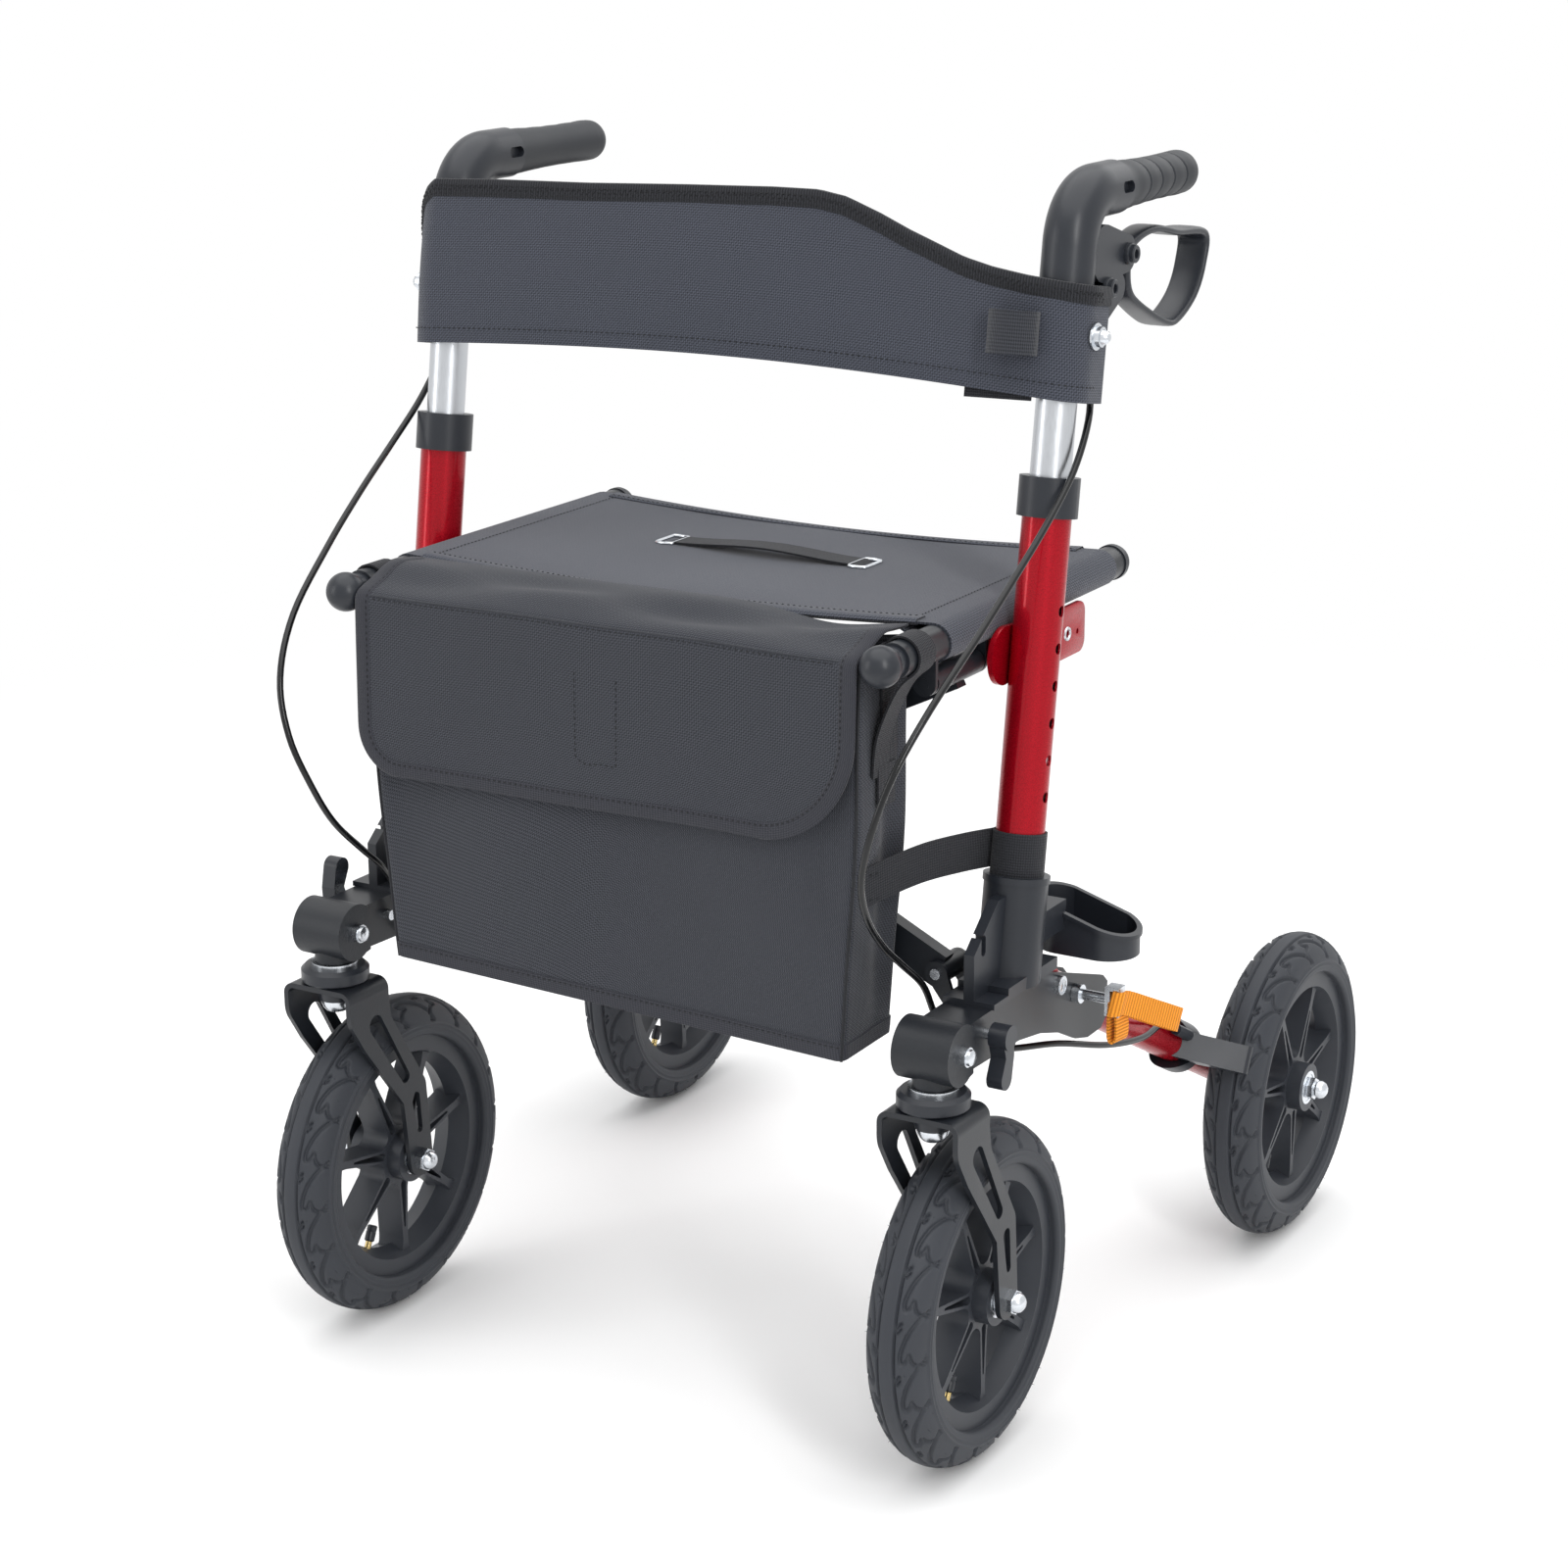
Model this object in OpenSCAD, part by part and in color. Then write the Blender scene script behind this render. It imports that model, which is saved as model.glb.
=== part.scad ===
// All terrain rollator: two side frames joined by a folding cross brace, four air tyres,
// height adjusting handles with loop brakes, cloth seat, back band and bag.
// Axes: +X to the left of the person pushing, -Y the way it rolls, +Z up, floor at zero.

/* [Wheels] */
// Outside diameter of a tyre
wheel_d = 254; // [240:1:270]
// Width of a tyre
tyre_w = 48; // [42:1:52]
// Front axle to rear axle
wheelbase = 486; // [470:1:520]
// Front axle behind the swivel axis
caster_trail = 58; // [52:1:62]
// Leaf shaped openings in a wheel
spoke_count = 7; // [6:1:8]
// Axle diameter
axle_d = 12; // [10:0.5:13]
// Bearing outside diameter
bearing_d = 28; // [26:0.5:30]
// Space between a rear leg and the hub of its wheel
rear_gap = 3; // [2:0.5:12]

/* [Frame] */
// Middle plane of a side frame from the centre
frame_x = 258; // [250:1:280]
// Backward lean of the uprights in degrees
lean = 8.6; // [7:0.1:10]
// Red upright tube diameter
upright_d = 35; // [34:0.5:36]
// Rear leg tube diameter
leg_d = 28; // [26:0.5:29]
// Thickness of the side plates
plate_t = 3; // [2:0.5:4]
// Seat tube diameter
seat_tube_d = 25; // [22:0.5:26]
// Height of the seat tube axis
seat_tube_z = 600; // [590:1:615]

/* [Handles] */
// Height of the grip axis
handle_z = 891; // [870:1:920]
// Silver handle tube diameter
handle_tube_d = 29; // [27:0.5:30]
// Length of a grip
grip_len = 128; // [110:1:135]
// Grip diameter at the elbow
grip_d = 36; // [32:0.5:37]
// Distance between height holes
hole_pitch = 26.3; // [25:0.1:27]

/* [Cloth] */
// Width of the bag
bag_w = 410; // [380:1:414]
// Depth of the bag
bag_depth = 78; // [60:1:84]
// Height of the back band in the middle
band_h = 121; // [112:1:126]
// Height of the back band at its ends
band_end_h = 79; // [72:1:84]

/* [Hidden] */
$fn = 64;
// seam between touching bodies, running fit, step in from a round edge, overrun of a cut
gap = 0.3;
fit = 0.06;
inset = 0.02;
tuck = 1;
over = 1;
big = 400;

// swivel bearing, from the fork crown up
disc_d = 52;
disc_h = 13;
disc_edge = [2, 3];
boss_d = 30;
boss_low_d = 26;
boss_h = 11;
race_d = 36;
race_h = 3;
stem_d = 12;
dome_d = 24;
dome_h = 9;
nut_d = 19;
nut_h = 6;
axle_proud = 4;
spacer_wall = 4;
spacer_d = axle_d + 2 * spacer_wall;

// heights of the side frame, from the wheels up
crown_room = 36;
lobe_rise = 25;
channel_rise = 16;
clamp_drop = 14;
pivot_drop = 14;
axle_z = wheel_d / 2;
crown_z = wheel_d + crown_room;
lobe_z = crown_z + disc_h + race_h + lobe_rise;
channel_top = lobe_z + channel_rise;
clamp_z = channel_top - clamp_drop;
pivot_z = channel_top - pivot_drop;

// places along the side frame, from the swivel axis back
channel_start = 17;
clamp_back = 42;
tongue_back = 61;
brace_back = 88;
upright_back = 112;
web_back = 141;
pivot_back = 155;
front_y = -wheelbase / 2;
rear_y = wheelbase / 2;
caster_y = front_y - caster_trail;
channel_front = caster_y + channel_start;
clamp_y = caster_y + clamp_back;
tongue_y = caster_y + tongue_back;
fold_y = caster_y + brace_back;
base_y = caster_y + upright_back;
base_z = channel_top;
web_rear = caster_y + web_back;
pivot_y = caster_y + pivot_back;
leg_run = [rear_y - pivot_y, axle_z - pivot_z];
leg_len = norm(leg_run);
leg_a = atan2(leg_run[1], leg_run[0]);

// wheel section
lip_drop = 28;
bead_depth = 7;
dish_depth = 14;
hub_wall = 6;
tyre_r = wheel_d / 2;
tyre_half = tyre_w / 2;
lip_r = tyre_r - lip_drop;
seat_r = lip_r - bead_depth;
dish_r = seat_r - dish_depth;
bead_half = 13;
rim_half = 17;
rim_wall = 8;
hub_r = bearing_d / 2 + hub_wall;
hub_half = tyre_half;
hub_slack = 2;
hub_bore_d = axle_d + hub_slack;
shoulder_t = 2;
bearing_w = 8;
shield_t = 1;
shield_ring = 2.5;
root_half = 5.15;
tip_half = 3.1;
root_rise = 14;
tip_rise = 2;
pocket_rise = [6, 42];
pocket_r = [3.2, 1];
web_half = 12;
web_tuck = 6;
petal_in = leaf(hub_r + root_rise, root_half);
petal_out = leaf(dish_r + tip_rise, tip_half);
casing_t = 4.5;
bead_wall = 3;
ridge_drop = 19.5;
ridge_t = 1.2;
ridge_r = 1.6;
groove_x = 7;
groove_r = 1.6;

// rear axle line
boss_proud = 1;
axle_boss_d = 34;
rear_wheel_x = frame_x + leg_d / 2 + boss_proud + rear_gap + hub_half;

// fork: places as shares of the trail, of the height from axle to crown and of the dropout radius
fork_room = 3.5;
fork_t = 4;
fork_half = tyre_half + fork_room + fork_t;
crown_bend = 9;
crown_reach = 29;
dropout_r = 14;
fork_leg_shares = [[0, 0.89, 1.714], [0.138, 0.755, 1.357], [0.897, 0.362, 1.071], [1, 0, 1]];
fork_slot_shares = [[0.121, 0.791, 0.571], [0.707, 0.46, 0.357]];
fork_slot_low_shares = [[0.914, 0.325, 0.357], [0.983, 0.16, 0.229]];

// knuckle and side channel: the channel's edge as shares of its length and depth
lobe_r = 22;
lobe_half = 22;
tongue_r = 10.8;
neck_d = 30;
chin = 4;
channel_half = 18;
channel_len = 226;
channel_depth = 73;
channel_low_shares = [[0.345, 0.507], [0.496, 0.589], [0.637, 0.726], [0.761, 0.918], [0.854, 1], [0.956, 1]];
channel_rear_shares = [[0.991, 0.918], [1, 0.534], [0.965, 0.438]];
chin_z = lobe_z - lobe_r + chin;
stud_d = 8;
wing_stand = 6;
wing_t = 14;
wing_step = 2;
wing_len = 30;
wing_hub_d = 18;
wing_r = 8;
wing_x = frame_x + channel_half + wing_stand;
wing_shares = [[0, 0, 1], [0.1, -0.5, 0.75], [-0.067, -1, 1]];
bolt_d = 8;
bolt_head_d = 14;
bolt_head_h = 5;

// folding brace
fold_in = 36;
fold_rise = 11;
fold_drop = 26;
fold_x = frame_x - fold_in;
fold_low_z = channel_top + fold_rise;
fold_top_z = seat_tube_z - fold_drop;
bar_w = 26;
bar_t = 12;
bar_space = 2;
sleeve_d = 18;
sleeve_half = 14;
top_half = 34;
pin_d = 8;
pin_proud = 2;
lug_t = 3.5;
lug_rib = 3;
brace_len = norm([2 * fold_x, fold_top_z - fold_low_z]);
brace_a = atan2(fold_top_z - fold_low_z, 2 * fold_x);

// upright
socket_d = 46;
socket_top = 77;
socket_floor = 4;
socket_rim = 5;
socket_lip = 1;
upright_top = 354;
upright_wall = 1.5;
collar_low = 330;
collar_d = 43;
collar_roof = 4;
hole_first = 134;
hole_count = 6;
hole_d = 8;
button_step = 1;
button_slack = 1;
button_short = 0.6;
foot_half = 20;
foot_reach = 39;
foot_h = 9;
flange_reach = [61, 11];
flange_rise = [1, 37, 67];
flange_top = 14;
flange_half = 4;
flange_foot = 4;
flange_slot_back = 47;
flange_slot_rise = 36;
flange_slot_run = 9;
flange_slot_r = 3.2;

// seat bracket and tube, from the upright's axis at the bracket's height
bracket_t = 4;
bracket_drop = 23;
bracket_front = [-11, 21];
bracket_tail = [55, 15];
bracket_hole = [51, 6];
bracket_hole_small = [61, 4];
saddle_run = [2, 36];
saddle_drop = 30;
saddle_wing = 6;
bracket_z = seat_tube_z - bracket_drop;
bracket_y = base_y + (bracket_z - base_z) * tan(lean);
bracket_x = frame_x - upright_d / 2;
saddle_z = seat_tube_z - saddle_drop;
seat_tube_lead = 107;
seat_tube_len = 342;
seat_tube_wall = 2;
seat_tube_y = [base_y - seat_tube_lead, base_y - seat_tube_lead + seat_tube_len];
ball_d = 29;
ball_neck_d = 21;
ball_neck_len = 8;
ball_sink_share = 0.33;
plug_len = 5;
plug_proud = 1;
lug_y = [fold_y - top_half - lug_t, fold_y + top_half + lug_t];

// handle
elbow_r = 38;
elbow_d = 38;
elbow_turn = 90 - lean;
elbow_s = (handle_z - base_z - elbow_r * (1 - sin(lean))) / cos(lean);
elbow_y = base_y + elbow_s * sin(lean) + elbow_r * cos(lean);
elbow_run = 28;
housing_len = 91.5;
housing_s = elbow_s - housing_len;
handle_low = 108;
handle_wall = 2;
grip_y = elbow_y + elbow_run;
grip_end_d = 31;
grip_core_d = 22;
grip_end_wall = 20;
grip_waist = 1;
grip_swell_shares = [0.2, 0.5];
grip_rib_first = 34;
grip_rib_pitch = 14;
grip_rib_count = 6;
grip_rib_r = 1;
window_back = [16, 6];
window_rise = 2;
window_r = 4;
window_deep = 5;

// brake lever: places from its pivot, the loop as shares of its length, depth and rod radius
pivot_drop_z = 45;
pivot_back_y = 4;
lever_p = [grip_y - pivot_back_y, handle_z - pivot_drop_z];
cheek = [[-38, 4, 20], [0, 0, 13]];
cheek_low = [[-48, -34, 15], [-14, -22, 10]];
cheek_half = 16;
clamp_screw = [-34, -20];
lever_half = 12;
lever_eye_half = 8;
lever_eye_r = 11;
lever_room = 12.5;
lever_room_run = [[40, 0], [20, -40]];
lever_len = 148;
lever_deep = 59;
lever_r = 4;
lever_shares = [[0.149, -0.068, 1.25], [0.243, 0.102, 1.125], [0.432, 0.169, 1], [0.676, 0.068, 1],
  [1, -0.034, 1.25], [0.993, -0.407, 0.9], [0.892, -0.763, 0.9], [0.703, -1, 1], [0.554, -1, 1],
  [0.257, -0.678, 1], [0.149, -0.441, 1.25], [0.149, -0.068, 1.25]];
screw_d = 12;
screw_h = 3;
key_d = 6;

// brakes, along the leg from its pivot
shoe_gap = 3.2;
shoe_t = leg_len - tyre_r - shoe_gap;
shoe_past = 14;
shoe_r = 5;
shoe_half = 11;
brake_len = 76;
brake_back = 8;
brake_t = [shoe_t - brake_back - brake_len, shoe_t - brake_back];
brake_cut_run = 36;
brake_cut_a = 42;
brake_d = 42;
arm_r = 17;
arm_back = 26;
adjuster_out = 18;
adjuster_rise = 8;
adjuster_d = 9;
adjuster_len = 18;
leg_bore = [60, 30];
leg_wall = 2;
vent_d = 5;
vent_back = 40;

// lock pin, from the leg's side out, and the loop of webbing through its head
pin_t = 34;
pin_reach = 0.6;
pin_ring_d = 14;
pin_ring_t = 6;
pin_head = [11, 6, 11];
pin_head_out = 45;
pin_slot = [4, 3, 8.6];
pin_y = pivot_y + pin_t * cos(leg_a);
pin_z = pivot_z + pin_t * sin(leg_a);
strap_w = 16;
strap_t = 2;
strap_x = frame_x + pin_head_out + pin_slot[0] + pin_slot[1] / 2;
strap_out = 32.5;
strap_len = 90;
strap_shares = [[0, -0.111], [0, 0.111], [0.415, 0.511], [0.785, 0.8], [0.908, 0.844], [1, 0.778],
  [0.692, 0.422], [0.308, 0.044], [0.262, -0.089], [0.108, -0.156], [0, -0.111]];

// cane cup, from the upright's foot
cup_out = [4, 34];
cup_back = 93;
cup_r = 24;
cup_flat = 23;
cup_wall = 2.6;
cup_low = -1;
cup_high = 45;
cup_slope = 17;
cup_rim = 29;
cup_lip = 1.6;
cup_lip_h = 3;
clip_half = 10;
clip_z = [19, 41];
clip_reach = [17, 73];
cup_y = base_y + cup_back;
cup_x = frame_x + (cup_out[0] + cup_out[1]) / 2;

// brake cable route on the left, from the lever housing to the brake block
cable_d = 5;
cable_sides = 8;
cable_steps = 3;
cable_route = [[258, -62, 823], [258, -66, 812], [259.5, -73, 793], [267, -92, 764], [276, -114, 738],
  [279, -142, 708], [279, -180, 680], [277, -222, 652], [273, -268, 620], [265, -322, 580],
  [254, -354, 540], [242, -362, 500], [230, -354, 462], [225, -336, 430], [222, -308, 402],
  [223, -284, 382], [229, -264, 362], [231, -252, 340], [232, -240, 318], [240, -212, 299],
  [256, -176, 290], [270, -130, 281], [282, -70, 262], [284, -10, 248], [279, 40, 242], [276, 72.5, 226]];

// cloth seat and its pull strap
seat_lead = 25;
seat_len = 266;
seat_t = 2.4;
seat_sag = 6;
seat_steps = 8;
sleeve_t = 1.6;
seat_y = [fold_y - seat_lead, fold_y - seat_lead + seat_len];
slot_x = 84;
slot_back = 127;
slot_half = [5, 13];
slot_y = fold_y + slot_back;
pull_half = 11;
pull_t = 1.4;
wire_t = 3;
wire_rise = 1;

// back band, in the leaned frame of the uprights
band_t = 5;
band_r = 26;
band_side = 1;
band_lead = 1.5;
band_back = 20;
band_drop = 96.5;
band_end_drop = 107.5;
band_steps = 12;
// outline of the top edge: shares of the half width and of the height over the ends
band_top_shares = [[-1, 0], [-0.986, 0.5], [-0.961, 0.7], [-0.926, 0.83], [-0.73, 0.87], [-0.44, 0.9],
  [-0.14, 0.96], [0.12, 1], [0.25, 1], [0.33, 0.93], [0.43, 0.74], [0.516, 0.55], [0.586, 0.415],
  [0.67, 0.25], [0.75, 0.15], [0.845, 0.075], [1, 0]];
band_in_y = -elbow_d / 2 - band_lead;
band_half = frame_x + elbow_d / 2 + band_side + band_t;
band_low = elbow_s - band_drop;
band_end_low = elbow_s - band_end_drop;

// bag, its hanging loops and its flap
bag_clear = 23;
bag_top_rise = 6;
bag_low_drop = 29;
bag_tilt_share = 0.03;
bag_levels = 12;
bag_points = 40;
bag_corner_share = 0.4;
bag_bulge = 3.5;
bag_taper = 14;
bag_wall = 2.4;
bag_y = fold_y - bag_clear - bag_depth;
bag_z = [channel_top - bag_low_drop, seat_tube_z + bag_top_rise];
loop_lead = 73;
loop_w = 24;
loop_t = 2;
loop_drop = 95;
loop_y = [fold_y - loop_lead, fold_y - loop_lead + loop_w];
loop_foot = [bag_w / 2 - loop_t, seat_tube_z - loop_drop];
loop_r = seat_tube_d / 2 + loop_t;
flap_over = 3;
flap_half = bag_w / 2 + flap_over;
flap_t = 1.4;
flap_front = 7;
flap_top = 14;
flap_hang = 136;
flap_hinge = 11;
flap_corner = 34;
flap_back_y = bag_y + bag_depth - flap_hinge;
flap_front_y = bag_y - flap_front;
flap_lip_shares = [[1, 0.57], [0.5, 1], [0.122, 0.64], [0.014, -0.43]];
flap_hang_shares = [[0, 0.34], [0.007, 0.67], [0.027, 1]];
flap_low = bag_z[1] - flap_hang - flap_t;

// webbing from the upright to the bag
tie_top = 110;
tie_t = 2;
tie_edge = 4;
tie_half = 0.9;
tie_start = [18, 11];
tie_end = [5, 14];

// helpers

// radius and half width of a leaf opening that leaves a spoke of the given half width
function leaf(r, half) = [r, r * sin(180 / spoke_count) - half];

module on_side(side) {
  if (side > 0) children();
  else mirror([1, 0, 0]) children();
}

// a flat outline (y, z) made solid from x = a to x = b
module across(a, b) translate([a, 0, 0]) rotate([90, 0, 90]) linear_extrude(b - a) children();

// a flat outline (x, z) made solid from y = a to y = b
module along(a, b) translate([0, b, 0]) rotate([90, 0, 0]) linear_extrude(b - a) children();

// a flat outline (x, y) made solid from z = a to z = b
module rising(a, b) translate([0, 0, a]) linear_extrude(b - a) children();

// the four cornered piece that joins two round ends
module web(p, q) {
  d = [q[0] - p[0], q[1] - p[1]];
  t = atan2(d[1], d[0]);
  b = acos((p[2] - q[2]) / norm(d));
  polygon([for (k = [[p, 1], [q, 1], [q, -1], [p, -1]])
    [k[0][0], k[0][1]] + (k[0][2] - inset) * [cos(t + k[1] * b), sin(t + k[1] * b)]]);
}

module dot2(p) translate([p[0], p[1]]) circle(r = p[2]);

// round ended arms along a list of [u, v, radius]
module arm_across(pts, a, b) {
  for (p = pts) across(a, b) dot2(p);
  for (i = [0 : len(pts) - 2]) across(a, b) web(pts[i], pts[i + 1]);
}

module arm_rising(pts, a, b) {
  for (p = pts) rising(a, b) dot2(p);
  for (i = [0 : len(pts) - 2]) rising(a, b) web(pts[i], pts[i + 1]);
}

module rod_x(a, b, y, z, d) translate([a, y, z]) rotate([0, 90, 0]) cylinder(d = d, h = b - a);

module rod_y(a, b, x, z, d) translate([x, a, z]) rotate([-90, 0, 0]) cylinder(d = d, h = b - a);

module hex_x(a, b, y, z, d) translate([a, y, z]) rotate([0, 90, 0]) cylinder(d = d, h = b - a, $fn = 6);

// a head or nut on each end of a line across the frame: inner faces at frame_x -/+ half
module both_ends(half, h) for (x = [frame_x - half - h, frame_x + half]) translate([x, 0, 0]) children();

module upright_frame() translate([frame_x, base_y, base_z]) rotate([-lean, 0, 0]) children();

module band_frame() translate([0, base_y, base_z]) rotate([-lean, 0, 0]) children();

module leg_frame() translate([frame_x, pivot_y, pivot_z]) rotate([leg_a, 0, 0]) children();

// wheels, built round the x axis at the origin
module tyre_shape() rotate([0, 90, 0]) rotate_extrude() difference() {
  union() {
    intersection() {
      translate([tyre_r - tyre_half, 0]) circle(r = tyre_half);
      translate([lip_r, -tyre_w]) square([tyre_w, 2 * tyre_w]);
    }
    translate([seat_r, -bead_half]) square([tyre_half, 2 * bead_half]);
    for (s = [-1, 1]) translate([tyre_r - ridge_drop, s * (tyre_half - ridge_t)]) circle(r = ridge_r);
  }
  for (s = [-1, 1]) translate([tyre_r, s * groove_x]) circle(r = groove_r);
  // air space, open to the rim between the two beads
  intersection() {
    translate([tyre_r - tyre_half, 0]) circle(r = tyre_half - casing_t);
    translate([lip_r + bead_wall, -tyre_w]) square([tyre_w, 2 * tyre_w]);
  }
  translate([seat_r - over, casing_t - bead_half]) square([tyre_half, 2 * (bead_half - casing_t)]);
}

// a round ended opening along one spoke direction, right through the wheel
module wheel_opening(low, high, turn) rotate(turn) rotate([0, -90, 0])
  arm_across([[0, low[0], low[1]], [0, high[0], high[1]]], -tyre_w, tyre_w);

// leaf openings leave the spokes, and a pocket splits each spoke near the hub
module wheel_web() difference() {
  cylinder(r = seat_r - web_tuck, h = 2 * web_half, center = true);
  for (k = [0 : spoke_count - 1]) {
    wheel_opening(petal_in, petal_out, k * 360 / spoke_count);
    wheel_opening([hub_r + pocket_rise[0], pocket_r[0]], [hub_r + pocket_rise[1], pocket_r[1]],
      (k + 0.5) * 360 / spoke_count);
  }
}

module bearing() difference() {
  cylinder(d = bearing_d, h = bearing_w, center = true);
  cylinder(d = axle_d + 2 * fit, h = tyre_w, center = true);
  for (e = [-1, 1]) translate([0, 0, e * bearing_w / 2]) difference() {
    cylinder(d = bearing_d - 2 * shield_ring, h = shield_t, center = true);
    cylinder(d = axle_d + 2 * shield_ring, h = 2 * shield_t, center = true);
  }
}

module rim_shape() rotate([0, 90, 0]) {
  difference() {
    union() {
      rotate_extrude() union() {
        polygon([[seat_r - rim_wall, -rim_half], [seat_r, -rim_half], [seat_r, rim_half],
          [seat_r - rim_wall, rim_half], [dish_r, 0]]);
        for (s = [-1, 1]) translate([seat_r - tuck, s > 0 ? bead_half : -rim_half])
          square([lip_r - seat_r + tuck, rim_half - bead_half]);
      }
      cylinder(r = hub_r, h = 2 * hub_half, center = true);
      wheel_web();
    }
    cylinder(d = hub_bore_d, h = 2 * tyre_w, center = true);
    for (s = [-1, 1]) translate([0, 0, s * (hub_half - bearing_w / 2)])
      cylinder(d = bearing_d + 2 * fit, h = bearing_w + 2 * fit, center = true);
    cylinder(d = bearing_d - 2 * shoulder_t, h = 2 * hub_half - bearing_w, center = true);
  }
  for (s = [-1, 1]) translate([0, 0, s * (hub_half - bearing_w / 2)]) bearing();
}

module front_place() translate([frame_x, front_y, axle_z]) children();

module rear_place() translate([rear_wheel_x, rear_y, axle_z]) children();

module front_tyre(side) color("#26272b") on_side(side) front_place() tyre_shape();

module front_rim(side) color("#2e2f33") on_side(side) front_place() rim_shape();

module rear_tyre(side) color("#26272b") on_side(side) rear_place() tyre_shape();

module rear_rim(side) color("#2e2f33") on_side(side) rear_place() rim_shape();

// bent steel fork
function fork_places(shares) = [for (k = shares)
  [caster_y + k[0] * caster_trail, axle_z + k[1] * (crown_z - axle_z), k[2] * dropout_r]];

module fork_bend() difference() {
  union() {
    translate([-fork_half, 0]) square([2 * fork_half, crown_z - crown_bend]);
    translate([crown_bend - fork_half, 0]) square([2 * (fork_half - crown_bend), crown_z]);
    for (s = [-1, 1]) translate([s * (fork_half - crown_bend), crown_z - crown_bend]) circle(r = crown_bend);
  }
  difference() {
    translate([fork_t - fork_half, -over]) square([2 * (fork_half - fork_t), crown_z - fork_t + over]);
    for (s = [-1, 1]) difference() {
      translate([s * (fork_half - fork_t) - crown_bend / 2, crown_z - fork_t - crown_bend / 2])
        square([crown_bend, crown_bend]);
      translate([s * (fork_half - fork_t - crown_bend / 2), crown_z - fork_t - crown_bend / 2])
        circle(r = crown_bend / 2);
    }
  }
}

module caster_fork(side) color("#1f2023") on_side(side) difference() {
  intersection() {
    translate([frame_x, 0, 0]) along(caster_y - big, big) fork_bend();
    union() {
      leg = fork_places(fork_leg_shares);
      arm_across(leg, frame_x - big, frame_x + big);
      across(frame_x - big, frame_x + big) translate([caster_y - leg[0][2], leg[0][1]])
        square([2 * leg[0][2], crown_reach]);
    }
  }
  arm_across(fork_places(fork_slot_shares), frame_x - big, frame_x + big);
  arm_across(fork_places(fork_slot_low_shares), frame_x - big, frame_x + big);
  rod_x(frame_x - big, frame_x + big, front_y, axle_z, axle_d);
  translate([frame_x, caster_y, 0]) cylinder(d = stem_d, h = big);
}

// plastic dust disc above the crown and boss below it
module caster_headset(side) color("#2a2b2e") on_side(side) translate([frame_x, caster_y, 0]) difference() {
  union() {
    translate([0, 0, crown_z]) rotate_extrude() polygon([[0, 0], [disc_d / 2 - disc_edge[0], 0],
      [disc_d / 2, disc_edge[0]], [disc_d / 2, disc_h - disc_edge[1]], [disc_d / 2 - disc_edge[1], disc_h],
      [0, disc_h]]);
    translate([0, 0, crown_z - fork_t - boss_h]) cylinder(d1 = boss_low_d, d2 = boss_d, h = boss_h);
  }
  translate([0, 0, crown_z - fork_t]) cylinder(d = big, h = fork_t);
  cylinder(d = stem_d, h = big);
}

// swivel stem with dome nut, bearing race, axle bolt, spacers and nuts
module caster_hardware(side) color("#c9ccd0") on_side(side) {
  translate([frame_x, caster_y, crown_z - fork_t - boss_h]) {
    translate([0, 0, -dome_h]) cylinder(d = stem_d, h = lobe_z - crown_z + fork_t + boss_h);
    intersection() {
      sphere(d = dome_d);
      translate([0, 0, -dome_h]) cylinder(d = dome_d, h = dome_h);
    }
  }
  translate([frame_x, caster_y, crown_z + disc_h]) cylinder(d = race_d, h = race_h);
  rod_x(frame_x - fork_half - nut_h, frame_x + fork_half + nut_h, front_y, axle_z, axle_d);
  both_ends(fork_half, nut_h) hex_x(0, nut_h, front_y, axle_z, nut_d);
  spacer_len = fork_half - fork_t - hub_half - gap;
  both_ends(hub_half + gap, spacer_len) rod_x(0, spacer_len, front_y, axle_z, spacer_d);
}

// cast knuckle that carries the caster in front of the side channel
module caster_knuckle(side) color("#232427") on_side(side) difference() {
  union() {
    difference() {
      union() {
        rod_x(frame_x - lobe_half, frame_x + lobe_half, caster_y, lobe_z, 2 * lobe_r);
        across(frame_x - lobe_half, frame_x + lobe_half)
          polygon([[caster_y, lobe_z - lobe_r + tuck], [caster_y, lobe_z + lobe_r - tuck],
            [channel_front, channel_top], [channel_front, chin_z]]);
      }
      translate([0, channel_front - gap, 0]) cube([2 * big, big, 2 * big]);
    }
    arm_across([[caster_y, lobe_z, tongue_r], [tongue_y, clamp_z, tongue_r]],
      frame_x - channel_half + plate_t, frame_x + channel_half - plate_t);
    translate([frame_x, caster_y, crown_z + disc_h + race_h + gap])
      cylinder(d = neck_d, h = lobe_z - crown_z - disc_h - race_h);
  }
  translate([frame_x, caster_y, 0]) cylinder(d = stem_d + 2 * fit, h = lobe_z - dome_h + gap);
  rod_x(frame_x - big, frame_x + big, caster_y, lobe_z, bolt_d);
  rod_x(frame_x - big, frame_x + big, clamp_y, clamp_z, stud_d + 2 * fit);
}

// pressed steel channel: two plates and a top web over the front half
function channel_edge(shares) = [for (i = [1 : len(shares)]) let (k = shares[len(shares) - i])
  [channel_front + k[0] * channel_len, channel_top - k[1] * channel_depth]];

module channel_outline() polygon(concat([[channel_front, channel_top], [web_rear, channel_top]],
  channel_edge(channel_rear_shares), channel_edge(channel_low_shares), [[channel_front, chin_z]]));

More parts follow.
